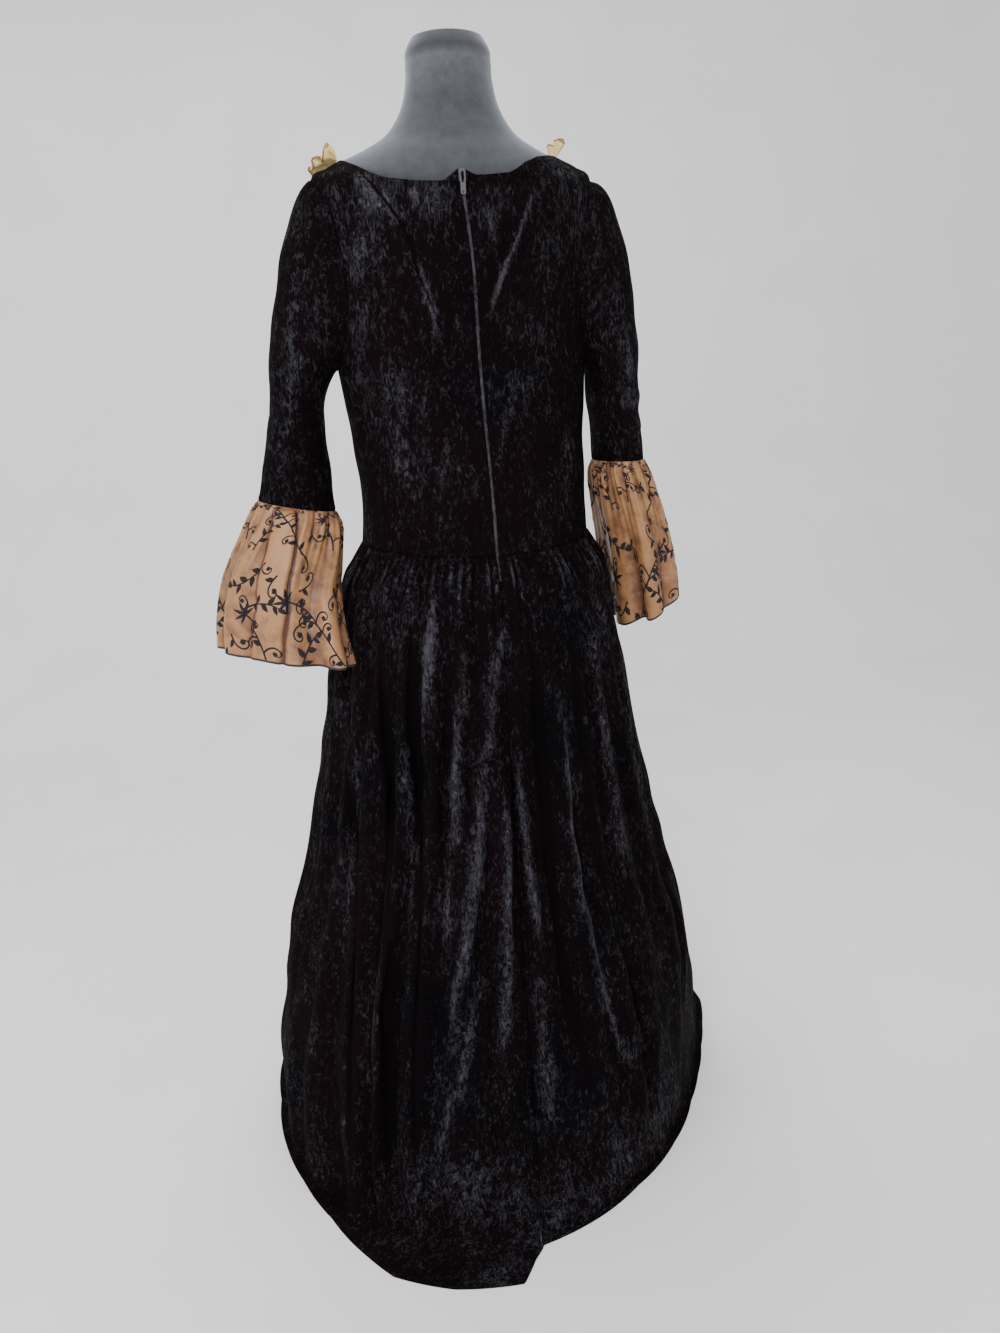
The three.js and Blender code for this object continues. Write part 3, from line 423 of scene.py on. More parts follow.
def bodice_points(rows, angles):
    """The middle of the cloth: the ring surface, with the rows above the shoulder tip closed up or
    spread out to end on the neckline, stood off along its normal by the seat and by the slack
    behind the neck."""
    turn = np.arctan2(np.sin(angles), np.cos(angles))
    over = np.maximum(0, (rows - TIP_ROW) / (NECK_ROW - TIP_ROW))
    shift = np.array(NECKLINE_SHIFT)
    shifted = rows + over * np.interp(np.degrees(turn), shift[:, 0], shift[:, 1])
    step = 0.02
    ahead, behind = (ring_points(BODICE_RINGS, shifted, angles + way * step) for way in (1, -1))
    above, under = (ring_points(BODICE_RINGS, shifted + way * step, angles) for way in (1, -1))
    normal = np.cross(above - under, ahead - behind)
    normal /= np.linalg.norm(normal, axis=-1, keepdims=True)
    back = np.maximum(0, np.cos(turn * 1.3)) * (np.abs(turn) < np.pi / 2)
    stand = soft_step(rows, TIP_ROW - 1, TIP_ROW) * SEATED + SLACK * back * over
    sway = through(SWAY, np.asarray(rows, float)) * [1, 0, 0]
    return ring_points(BODICE_RINGS, shifted, angles) + sway + normal * stand[..., None]


def creases(points, normals, lines):
    """Height of soft ridges and troughs: for each line, its size times a bell of the distance from
    it, steeper on one side where it leans, and fading out towards both of its ends."""
    height = np.zeros(points.shape[:-1])
    for size, width, lean, path in lines:
        path = through(path, np.linspace(0, len(path) - 1, 4 * len(path)))
        step = path[1:] - path[:-1]
        length = np.linalg.norm(step, axis=-1)
        away = points[..., None, :] - path[:-1]
        share = np.clip((away * step).sum(-1) / length**2, 0, 1)
        off = away - share[..., None] * step
        distance = np.linalg.norm(off, axis=-1)
        near = distance.argmin(-1)[..., None]
        apart = np.take_along_axis(distance, near, -1)[..., 0]
        done = np.concatenate([[0], np.cumsum(length)[:-1]])
        along = (done[near] + np.take_along_axis(share, near, -1) * length[near])[..., 0]
        along = along / length.sum()
        nearest = off[tuple(np.indices(near.shape[:-1])) + (near[..., 0],)]
        side = np.sign((np.cross(step[near[..., 0]], nearest) * normals).sum(-1))
        reach = np.where(side > 0, 1 + lean, 1 - lean) * width
        height += size * np.exp(-((apart / reach) ** 2)) * (1 - np.abs(2 * along - 1) ** 3)
    return height


def armhole_half(rows):
    """Angle from the side seam to the armhole's edge: half an ellipse between the underarm and the
    shoulder tip."""
    reach = (rows - ARMHOLE_MIDDLE) / ARMHOLE_REACH
    return ARMHOLE_ANGLE * np.sqrt(np.maximum(0, 1 - reach**2))


def grid_faces(columns, rows, closed, start=0):
    """Four-cornered faces of a grid of vertices numbered column by column."""
    i, j = np.meshgrid(np.arange(columns if closed else columns - 1), np.arange(rows - 1), indexing="ij")
    i, j = i.ravel(), j.ravel()
    beside = (i + 1) % columns
    return start + np.stack([i * rows + j, i * rows + j + 1, beside * rows + j + 1, beside * rows + j], -1)


def cloth_wall(name, middle, normals, thickness, closed, material, uv=None, marks=None):
    """A cloth wall: two grids half a thickness each side of the middle one, joined round every free
    edge. Its edges are rounded, as a turned or folded edge is, by drawing the two faces together
    over the last step."""
    columns, rows = middle.shape[:2]
    edge = np.ones((columns, rows))
    edge[:, [0, -1]] = 0.6
    if not closed:
        edge[[0, -1]] = 0.6
    half = normals * (thickness / 2 * edge)[..., None]
    vertices = np.concatenate([(middle + half).reshape(-1, 3), (middle - half).reshape(-1, 3)])
    count = columns * rows
    out = grid_faces(columns, rows, closed)
    within = grid_faces(columns, rows, closed, count)[:, ::-1]
    i = np.arange(columns if closed else columns - 1)
    beside = (i + 1) % columns
    low = np.stack([i * rows, beside * rows, beside * rows + count, i * rows + count], -1)
    top = np.stack([beside * rows, i * rows, i * rows + count, beside * rows + count], -1) + rows - 1
    faces = [out, within, low, top]
    if not closed:
        j = np.arange(rows - 1)
        first = np.stack([j + 1, j, j + count, j + 1 + count], -1)
        end = np.stack([j, j + 1, j + 1 + count, j + count], -1) + (columns - 1) * rows
        faces += [first, end]
    twice = None if uv is None else np.concatenate([uv.reshape(-1, 2)] * 2)
    both = {title: np.concatenate([value.ravel()] * 2) for title, value in (marks or {}).items()}
    return build_mesh(name, vertices, np.concatenate(faces), material, twice, both)


# How far the pile lies pressed and lit is the sum of the flakes, the patches and the
# "press_and_painted_light" mark, each by its weight, scaled and raised by a base. That mark carries
# painted highlights along the crests and painted shade along the crease lines. The line of stitching
# is drawn 12 to 14 mm below the neckline, in shares of a 30 mm span.
FLAKE_WEIGHT, PATCH_WEIGHT, PRESS_AND_LIGHT_WEIGHT = 0.8, 1.3, 0.75
PRESS_SCALE, PRESS_BASE = 0.34, 0.206
STITCH_SPAN = 30


def weighed(tree, value, weight, more=0.0):
    """A value times its weight, plus more."""
    made = node(tree, "ShaderNodeMath", operation="MULTIPLY_ADD", _0=value, _1=weight, _2=more)
    return made.outputs[0]


def crushed_velvet():
    """Black crushed velvet. Its pile stands or lies pressed in flakes of one to three millimetres,
    which run together into patches and, along the folds, into streaks. Standing pile is near black
    with a brown cast, and pressed pile is bluish grey and glossier. How much lies pressed is the
    weighted sum of the sharpened flakes, the patches and the "press_and_painted_light" mark, whose
    streaks and clouds are painted highlights on the crests and whose negative lines are painted shade
    in the creases. The bluish grey is therefore partly pressed pile and partly painted highlight."""
    material, tree, shader = new_material("crushed_velvet")
    press_and_painted_light = node(tree, "ShaderNodeAttribute", attribute_name="press_and_painted_light").outputs["Fac"]
    flakes = ramp(tree, noise(tree, place(tree, (1, 1, 0.45)), 185, 5, 0.74, 1.1), [(0.4, 0), (0.62, 1)])
    patch = noise(tree, place(tree, (1, 1, 0.42)), 30, 5, 0.68, 0.6)
    wide = noise(tree, place(tree), 5, 2, 0.5)
    level = weighed(tree, patch, PATCH_WEIGHT, weighed(tree, press_and_painted_light, PRESS_AND_LIGHT_WEIGHT))
    lying_and_highlit = weighed(tree, flakes, FLAKE_WEIGHT, level)
    share = weighed(tree, lying_and_highlit, PRESS_SCALE, PRESS_BASE)
    standing = ramp(tree, wide, [(0.4, (0.0046, 0.002, 0.0027)), (0.66, (0.0026, 0.0018, 0.0025))])
    greys = [
        (0.55, (0.0062, 0.0053, 0.0068)),
        (0.67, (0.0145, 0.013, 0.0172)),
        (0.84, (0.043, 0.0405, 0.052)),
    ]
    # The bluish grey of pressed pile, which also serves as the painted highlight on the crests.
    pressed_and_highlit = ramp(tree, share, greys)
    mixed = node(tree, "ShaderNodeMix", data_type="RGBA")
    tree.links.new(ramp(tree, share, [(0.545, 0), (0.605, 1)]), mixed.inputs[0])
    tree.links.new(standing, mixed.inputs[6])
    tree.links.new(pressed_and_highlit, mixed.inputs[7])
    tree.links.new(mixed.outputs[2], shader.inputs["Base Color"])
    rough = ramp(tree, share, [(0.52, 0.92), (0.66, 0.66), (0.86, 0.42)])
    tree.links.new(rough, shader.inputs["Roughness"])
    glint = ramp(tree, share, [(0.52, 0.04), (0.66, 0.1), (0.86, 0.25)])
    tree.links.new(glint, shader.inputs["Specular IOR Level"])
    below = node(tree, "ShaderNodeAttribute", attribute_name="below").outputs["Fac"]
    stitched = node(tree, "ShaderNodeMapRange", Value=below)
    stitched.inputs["From Max"].default_value = STITCH_SPAN
    seam = ramp(tree, stitched.outputs["Result"], [(0.39, 1), (0.43, 0), (0.47, 1)])
    bump(tree, shader, weighed(tree, seam, 0.5, lying_and_highlit), 0.7, 0.002)
    return material


body_velvet = crushed_velvet()


def bodice_grid(start, end, columns):
    """Rows and plan angles of a panel between two seams, with rows close together where the armhole
    turns."""
    swing = ARMHOLE_MIDDLE - ARMHOLE_REACH * np.cos(np.linspace(0, np.pi, ARMHOLE_STEPS))
    low = np.linspace(0, UNDERARM_ROW, BELOW_STEPS)[:-1]
    high = np.linspace(TIP_ROW, NECK_ROW, ABOVE_STEPS)[1:]
    rows = np.concatenate([low, swing, high])
    share = np.linspace(0, 1, columns)[:, None]
    angles = start(rows)[None] * (1 - share) + end(rows)[None] * share
    return np.broadcast_to(rows, angles.shape), angles


def bodice_panel(name, start, end, columns, drags):
    """A panel from its seams: the bodice surface moved out by the drag lines and by faint
    hand-width slackness, kept back from the seams by half a seam. The drag lines fade near the
    waist seam, the neckline and the armhole."""
    rows, angles = bodice_grid(start, end, columns)
    middle = bodice_points(rows, angles)
    normals = outward(middle)
    across = np.linspace(0, 1, columns)[:, None]
    fade = np.clip(across * columns / 3, 0, 1) * np.clip((1 - across) * columns / 3, 0, 1)
    fade = fade * soft_step(rows, 0, 0.3) * (1 - 0.8 * soft_step(rows, 9.2, 9.8))
    x, y, z = np.moveaxis(middle, -1, 0)
    ripple = 0.7 * np.sin(z / 23 + x / 31 + 1.2 * np.sin(x / 17)) + 0.5 * np.sin(z / 13 - y / 19 + x / 12)
    height = (creases(middle, normals, drags) + ripple) * fade
    middle = middle + normals * height[..., None]
    along = np.gradient(middle, axis=0)
    along /= np.linalg.norm(along, axis=-1, keepdims=True)
    middle[0] += along[0] * SEAM / 2
    middle[-1] -= along[-1] * SEAM / 2
    normals = outward(middle)
    normals[:, 0, 2] = 0
    top = np.linalg.norm(np.diff(middle[:, ::-1], axis=1), axis=-1)
    below = np.concatenate([np.zeros((columns, 1)), np.cumsum(top, 1)], 1)[:, ::-1]
    side = np.linalg.norm(np.diff(middle, axis=0), axis=-1)
    beside = np.concatenate([np.zeros((1, side.shape[1])), np.cumsum(side, 0)])
    uv = np.stack([beside, below], -1) * MM
    # Pressed pile with painted highlights on the crests, and painted shade along the creases.
    press_and_painted_light = creases(middle, normals, BODICE_PRESS_AND_LIGHT_STREAKS) + clouds(middle, BODICE_PRESS_AND_LIGHT_CLOUDS) - BODICE_UPRIGHT
    marks = {"below": below, "press_and_painted_light": press_and_painted_light}
    piece = cloth_wall("velvet_" + name, middle, normals, VELVET, False, body_velvet, uv, marks)
    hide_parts(name)
    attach(piece, BODY)
    return piece


def back_seam(rows):
    """The plan angle of the centre-back seam at each ring row, which leans towards the neckline."""
    return BACK_SEAM_SWING * soft_step(rows, UNDERARM_ROW + 1, NECK_ROW)


bodice_front = bodice_panel(
    "bodice_front",
    lambda rows: np.pi / 2 + armhole_half(rows),
    lambda rows: 3 * np.pi / 2 - armhole_half(rows),
    FRONT_COLUMNS,
    FRONT_DRAGS,
)
bodice_back_left = bodice_panel(
    "bodice_back_left", back_seam, lambda rows: np.pi / 2 - armhole_half(rows), BACK_COLUMNS, BACK_DRAGS
)
bodice_back_right = bodice_panel(
    "bodice_back_right", lambda rows: armhole_half(rows) - np.pi / 2, back_seam, BACK_COLUMNS, BACK_DRAGS
)

# The sleeves: velvet, cut full at the head, set into the armholes in small tucks and hanging slack
# to above the elbow. Each column leaves its place on the armhole's seam and falls in a smooth curve
# into an oval tube.
CAP_FULLNESS = {"sleeve_left": 104, "sleeve_right": 165}
CAP_RISE = {"sleeve_left": -0.05, "sleeve_right": 0.2}
# Rows of the tube: height, middle across and behind, half width, half depth, tilt, and turn in
# plan.
TUBES = {
    "sleeve_left": [
        [1130, 239, 0, 36.5, 52, 0, 0],
        [1075, 245, 1, 43.5, 51, 0.05, 0],
        [1004, 251, 4, 52, 44, 0.2, 0],
    ],
    "sleeve_right": [
        [1162, 224, 0, 35, 56, 0, 0],
        [1095, 230, -2, 34, 57, 0, 0],
        [1041, 236, -5, 34.5, 57, 0, 0],
    ],
}
UNDERARM_FULLNESS = 30
LEAVING = 0.6
TUCKS = 22
TUCK_DEPTH = 1.6
SLEEVE_COLUMNS = 144
# How upright the pile is between the streaks of pressed pile and painted highlight.
SLEEVE_UPRIGHT = 0.15
SLEEVE_PRESS_AND_LIGHT_STREAKS = {
    "sleeve_left": [
        (0.6, 11, 0, [[208, 40, 1400], [226, 50, 1340], [238, 54, 1260], [246, 54, 1180], [250, 52, 1100]]),
        (0.4, 9, 0, [[262, 20, 1330], [272, 26, 1250], [274, 30, 1170], [276, 34, 1080]]),
        (0.4, 10, 0, [[212, -48, 1360], [228, -54, 1270], [236, -54, 1180], [244, -50, 1090]]),
        (0.4, 8, 0, [[286, 10, 1100], [272, 38, 1082], [246, 54, 1070], [220, 48, 1066]]),
    ],
    "sleeve_right": [
        (0.6, 10, 0, [[-204, 44, 1400], [-216, 54, 1340], [-224, 58, 1260], [-230, 58, 1180],
            [-232, 56, 1110]]),
        (0.4, 9, 0, [[-244, 20, 1340], [-254, 28, 1260], [-256, 30, 1180], [-260, 30, 1110]]),
        (0.4, 10, 0, [[-208, -48, 1360], [-218, -56, 1270], [-224, -56, 1180], [-230, -58, 1100]]),
        (0.4, 8, 0, [[-264, 0, 1150], [-254, 34, 1132], [-232, 54, 1122], [-206, 48, 1130]]),
    ],
}
SLEEVE_DRAGS = {
    "sleeve_left": [
        (3.0, 9, 0.2, [[208, 40, 1400], [226, 50, 1340], [238, 54, 1260], [246, 54, 1180],
            [250, 52, 1100]]),
        (-2.6, 10, 0, [[196, 60, 1380], [206, 64, 1320], [214, 62, 1250], [222, 58, 1190]]),
        (2.6, 12, 0, [[262, 20, 1330], [272, 26, 1250], [274, 30, 1170], [276, 34, 1080]]),
        (2.4, 11, 0, [[210, 52, 1220], [216, 56, 1160], [224, 56, 1100], [232, 52, 1050]]),
        (2.6, 12, 0, [[212, -48, 1360], [228, -54, 1270], [236, -54, 1180], [244, -50, 1090]]),
        (-2.2, 12, 0, [[262, -24, 1300], [272, -28, 1210], [274, -30, 1120]]),
        (2.0, 8, 0.3, [[286, 10, 1100], [272, 38, 1082], [246, 54, 1070], [220, 48, 1066]]),
        (2.0, 8, -0.3, [[290, 0, 1060], [276, 34, 1046], [250, 50, 1040], [222, 44, 1044]]),
        (2.0, 9, 0.2, [[284, -14, 1150], [268, -38, 1128], [240, -52, 1118], [214, -44, 1124]]),
    ],
    "sleeve_right": [
        (3.0, 9, -0.2, [[-204, 44, 1400], [-216, 54, 1340], [-224, 58, 1260], [-230, 58, 1180],
            [-232, 56, 1110]]),
        (-2.6, 10, 0, [[-196, 60, 1370], [-204, 62, 1310], [-208, 60, 1250], [-212, 56, 1200]]),
        (2.6, 12, 0, [[-244, 20, 1340], [-254, 28, 1260], [-256, 30, 1180], [-260, 30, 1110]]),
        (2.4, 10, 0, [[-208, 50, 1230], [-214, 54, 1170], [-222, 54, 1110]]),
        (2.6, 12, 0, [[-208, -48, 1360], [-218, -56, 1270], [-224, -56, 1180], [-230, -58, 1100]]),
        (-2.2, 12, 0, [[-246, -24, 1300], [-252, -30, 1210], [-256, -30, 1120]]),
        (2.0, 8, 0.2, [[-264, 0, 1150], [-254, 34, 1132], [-232, 54, 1122], [-206, 48, 1130]]),
        (2.0, 8, -0.2, [[-266, 4, 1105], [-258, 34, 1092], [-238, 52, 1086], [-210, 46, 1088]]),
    ],
}


def tube_points(rows_at, side, turn, wave=0.0):
    """Points of an oval tube: height, middle, half width, half depth, tilt and heading at each row,
    with a wave that moves them off the oval along its own normal before it is turned in plan and
    tilted."""
    z, x, y, half_width, half_depth, tilt, heading = np.moveaxis(rows_at[..., :7], -1, 0)
    out = np.stack([half_depth * np.cos(turn), half_width * np.sin(turn)], -1)
    out /= np.linalg.norm(out, axis=-1, keepdims=True)
    flat_x = half_width * np.cos(turn) + out[..., 0] * wave
    flat_y = half_depth * np.sin(turn) + out[..., 1] * wave
    head = np.radians(heading)
    turned_x = flat_x * np.cos(head) - flat_y * np.sin(head)
    turned_y = flat_x * np.sin(head) + flat_y * np.cos(head)
    return np.stack([side * (x + turned_x), y + turned_y, z + tilt * turned_x], -1)


def sleeve(name, side):
    """A sleeve from its middle grid: a cubic from the armhole seam's point and direction to the
    tube's first row, then down the tube's own rows, with tucks round the head that fade as they
    fall."""
    turn = np.pi * (1 - 2 * np.arange(SLEEVE_COLUMNS) / SLEEVE_COLUMNS)
    rows = ARMHOLE_MIDDLE + ARMHOLE_REACH * np.cos(turn)
    angles = side * (np.pi / 2 - ARMHOLE_ANGLE * np.sin(turn))
    start = bodice_points(rows, angles)
    nudge = 0.02
    along = bodice_points(rows, angles + nudge) - bodice_points(rows, angles - nudge)
    up = bodice_points(rows + nudge, angles) - bodice_points(rows - nudge, angles)
    normal = np.cross(up, along)
    normal /= np.linalg.norm(normal, axis=-1, keepdims=True)
    centre = bodice_points(np.array([ARMHOLE_MIDDLE]), np.array([side * np.pi / 2]))
    inward = centre - start
    inward -= normal * (inward * normal).sum(-1, keepdims=True)
    inward /= np.linalg.norm(inward, axis=-1, keepdims=True)
    start = start + inward * LEAVING
    high = ((1 + np.cos(turn)) / 2)[:, None]
    climb = 0.4 + (CAP_RISE[name] - 0.4) * high[:, 0]
    out = np.stack([np.full_like(turn, side), np.zeros_like(turn), climb], -1) + normal * 0.3
    out += inward * (0.5 - 0.3 * high)
    out /= np.linalg.norm(out, axis=-1, keepdims=True)
    tube = np.array(TUBES[name], float)
    goal = tube_points(tube[0], side, turn)
    fall = np.linalg.norm(goal - start, axis=-1, keepdims=True)
    leave = out * (UNDERARM_FULLNESS * (1 - high) + CAP_FULLNESS[name] * high)
    land = np.concatenate([np.zeros((SLEEVE_COLUMNS, 2)), -0.9 * fall], -1)
    f = (np.linspace(0, 1, 61)[1:] ** 1.25)[None, :, None]
    f2, f3 = f * f, f * f * f
    head = start[:, None] * (2 * f3 - 3 * f2 + 1) + leave[:, None] * (f3 - 2 * f2 + f)
    head += goal[:, None] * (3 * f2 - 2 * f3) + land[:, None] * (f3 - f2)
    lower_rows = through(tube, np.linspace(0, len(tube) - 1, 45)[1:])
    lower = tube_points(lower_rows[None], side, turn[:, None])
    middle = np.concatenate([start[:, None], head, lower], 1)
    normals = outward(middle, True) * -side
    count = middle.shape[1]
    down = np.linspace(0, 1, count)[None]
    tucks = TUCK_DEPTH * (np.cos(TUCKS * turn[:, None]) - 0.6) * np.maximum(0, high - 0.35) * 1.6
    tucks = tucks * np.exp(-((down / 0.16) ** 2)) * soft_step(down, 0, 0.03)
    gather = 1.2 * np.cos(26 * turn[:, None] + 0.8 * np.sin(5 * turn[:, None]))
    gather = gather * np.exp(-(((1 - down) / 0.08) ** 2))
    slack = 0.8 * np.sin(middle[..., 2] / 19 + 3 * turn[:, None])
    slack = slack + 0.6 * np.sin(middle[..., 2] / 11 - 2 * turn[:, None])
    loose = creases(middle, normals, SLEEVE_DRAGS[name]) + slack
    height = tucks + gather * (1 - soft_step(down, 0.985, 1))
    height = height + loose * soft_step(down, 0, 0.08) * (1 - soft_step(down, 0.96, 1))
    # Pressed streaks painted lighter as highlights, and a painted highlight on the crests of the tucks.
    press_and_painted_light = creases(middle, normals, SLEEVE_PRESS_AND_LIGHT_STREAKS[name])
    press_and_painted_light = press_and_painted_light + 0.12 * soft_step(tucks, 0, 1.5) - SLEEVE_UPRIGHT
    middle = middle + normals * height[..., None]
    normals = outward(middle, True) * -side
    normals[:, 0] = normal
    marks = {"press_and_painted_light": press_and_painted_light}
    piece = cloth_wall("velvet_" + name, middle, normals, VELVET, True, body_velvet, None, marks)
    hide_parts(name)
    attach(piece, BODY)
    return piece


sleeve_left = sleeve("sleeve_left", 1)
sleeve_right = sleeve("sleeve_right", -1)

# The bell cuffs: a wide strip of bronze-gold satin with raised black flock, gathered to the sleeve
# and falling in flutes, its hem bound with a narrow black edge. The flocked scrolls and small
# flowers are a plain, generic layout.
SATIN = 1.4
CUFF_GATHERS, CUFF_FLUTES = 14, 7
CUFF_COLUMNS = 252
CUFF_STEPS = 102
# The same rows for the cuffs, and then the size of the gathers and of the flutes.
CUFFS = {
    "cuff_left": [
        [1003.7, 251, 4, 52, 44, 0.2, 0, 1.2, 0],
        [984, 253, 7, 61, 49, 0.2, -6, 3, 1],
        [948, 264, 18, 70.5, 50, 0.18, -13, 2, 3],
        [900, 282.5, 38, 82, 45, 0.15, -23, 0.8, 4.5],
        [850, 290, 57, 93.5, 38, 0.12, -30, 0, 6],
        [800, 289, 69, 105, 35, 0.1, -34.5, 0, 7.5],
    ],
    "cuff_right": [
        [1040.7, 236, -5, 34.5, 57, 0, 0, 1.2, 0],
        [1020, 240, -6, 42, 63, 0, 0, 3, 1],
        [975, 253, -10, 48, 72, 0, 0, 2, 3],
        [920, 266, -16, 49, 82, 0.14, 0, 0.8, 5],
        [862, 276, -24, 49, 90, 0.34, 0, 0, 7],
        [810, 283, -32, 48, 97, 0.56, 0, 0, 8],
    ],
}
# The left cuff's flat box fold: the share of the way down and the turn round the cuff in degrees of
# its middle.
BAND_PATH = [[0, 70], [0.1, 74], [0.48, 90], [0.7, 96], [0.9, 89], [1, 86]]
BAND_HALF, BAND_HEIGHT = 12, 8
# The flocked vine, in millimetres. Each sprig is a list of strokes: the stroke it grows from, the
# share of the way along that one, its turn there in degrees, its length, its even bend and its curl
# towards the end in degrees, its width at the start and the end, the radius of a round tip, and the
# width of a leaf or petal.
FLOWER_SPRIG = [
    [-1, 0, 0, 44, 40, 10, 1.6, 1.2, 0, 0],
    [0, 0.22, -62, 30, -50, -330, 1.4, 0.9, 1.8, 0],
    [0, 0.5, 58, 27, 50, 340, 1.4, 0.9, 1.7, 0],
    [0, 0.8, -100, 15, -50, -260, 1.1, 0.8, 1.2, 0],
    [0, 0.8, 105, 15, 50, 260, 1.1, 0.8, 1.2, 0],
    [0, 0.36, 44, 9, 20, 0, 0, 0, 0, 3.6],
    [0, 0.66, -46, 9, -20, 0, 0, 0, 0, 3.6],
    [0, 1, -84, 10, -34, 0, 0, 0, 0, 1.9],
    [0, 1, -50, 12.5, -20, 0, 0, 0, 0, 2.1],
    [0, 1, -17, 14.5, -7, 0, 0, 0, 0, 2.3],
    [0, 1, 17, 14.5, 7, 0, 0, 0, 0, 2.3],
    [0, 1, 50, 12.5, 20, 0, 0, 0, 0, 2.1],
    [0, 1, 84, 10, 34, 0, 0, 0, 0, 1.9],
]
SCROLL_SPRIG = [
    [-1, 0, 0, 78, -95, 150, 1.6, 1.3, 0, 0],
    [0, 1, 0, 30, 70, 330, 1.3, 0.9, 1.9, 0],
    [0, 0.02, 170, 24, -40, -330, 1.4, 0.9, 1.8, 0],
    [0, 0.42, 60, 25, 60, 330, 1.3, 0.9, 1.7, 0],
    [0, 0.68, -62, 23, -60, -320, 1.3, 0.9, 1.6, 0],
    [0, 0.18, -48, 10, -20, 0, 0, 0, 0, 3.8],
    [0, 0.3, 48, 10, 20, 0, 0, 0, 0, 3.8],
    [0, 0.56, -46, 9, -20, 0, 0, 0, 0, 3.4],
    [0, 0.84, 44, 10, 20, 0, 0, 0, 0, 3.6],
    [0, 0.93, -50, 9, -20, 0, 0, 0, 0, 3.4],
]
LEAFY_SPRIG = [
    [-1, 0, 0, 40, -30, -25, 1.4, 1.0, 0, 0],
    [0, 0.12, 72, 22, 50, 320, 1.2, 0.8, 1.6, 0],
    [0, 0.25, -44, 9.5, -15, 0, 0, 0, 0, 3.6],
    [0, 0.42, 42, 10, 15, 0, 0, 0, 0, 3.7],
    [0, 0.58, -42, 10, -15, 0, 0, 0, 0, 3.7],
    [0, 0.74, 40, 10, 15, 0, 0, 0, 0, 3.6],
    [0, 0.88, -40, 9, -15, 0, 0, 0, 0, 3.2],
    [0, 1, 0, 11, 0, 0, 0, 0, 0, 3.4],
]
CURL_SPRIG = [[-1, 0, 0, 34, 30, 350, 1.5, 0.9, 2.0, 0], [0, 0.12, -50, 9, -20, 0, 0, 0, 0, 3.4]]
# One repeat of the vine, 165 mm round the cuff and 130 mm down: each sprig's start and heading.
REPEAT = (165, 130)
VINE = [
    [FLOWER_SPRIG, 25, 110, -84],
    [SCROLL_SPRIG, 68, 122, -28],
    [LEAFY_SPRIG, 55, 55, -150],
    [FLOWER_SPRIG, 115, 72, -58],
    [CURL_SPRIG, 82, 28, 10],
    [LEAFY_SPRIG, 152, 120, -100],
    [CURL_SPRIG, 148, 28, 200],
    [CURL_SPRIG, 72, 84, 120],
    [CURL_SPRIG, 15, 12, 60],
    [LEAFY_SPRIG, 120, 130, 60],
]
STROKE_STEPS = 21
SPRIG_SCALE, STROKE_SCALE = 1.3, 1.65
FLOCK_HEIGHT = 0.5
HEM_EDGE = 3.2


def sprig_strokes(sprig, u, v, heading):
    """Each stroke's line and half widths. The heading along a stroke is its start plus bend times s
    plus curl times the cube of s, and the line adds up steps in that direction. A leaf's half width
    is a sine."""
    s = np.linspace(0, 1, STROKE_STEPS)
    lines, widths, headings = [], [], []
    for parent, share, turn, length, bend, curl, first, last, tip, leaf in sprig:
        start, facing = np.array([u, v], float), heading
        if parent >= 0:
            start = np.array([np.interp(share, s, lines[parent][:, k]) for k in (0, 1)])
            facing = np.interp(share, s, headings[parent]) + turn
        angle = facing + bend * s + curl * s**3
        middle = np.radians((angle[1:] + angle[:-1]) / 2)
        steps = np.stack([np.cos(middle), np.sin(middle)], -1) * length * SPRIG_SCALE / (STROKE_STEPS - 1)
        lines.append(start + np.concatenate([[[0, 0]], np.cumsum(steps, 0)]))
        ball = tip * np.sqrt(np.clip(1 - (((1 - s) * length - tip) / max(tip, 0.1)) ** 2, 0, 1))
        half = (first + (last - first) * s) / 2 + ball + leaf / 2 * np.sin(np.pi * s**0.8)
        widths.append(half * STROKE_SCALE)
        headings.append(angle)
    return lines, widths


def vine_strips(around, down):
    """All strokes of the repeats over a flat cuff, as places and half widths, the rows of repeats
    set half a repeat apart."""
    lines, widths = [], []
    wide, tall = REPEAT
    for i in range(round(around / wide)):
        for j in range(-1, math.ceil(down / tall) + 1):
            for sprig, u, v, heading in VINE:
                line, width = sprig_strokes(sprig, u + (i + j % 2 / 2) * wide, v + j * tall - 30, heading)
                lines += line
                widths += width
    return np.array(lines), np.array(widths)


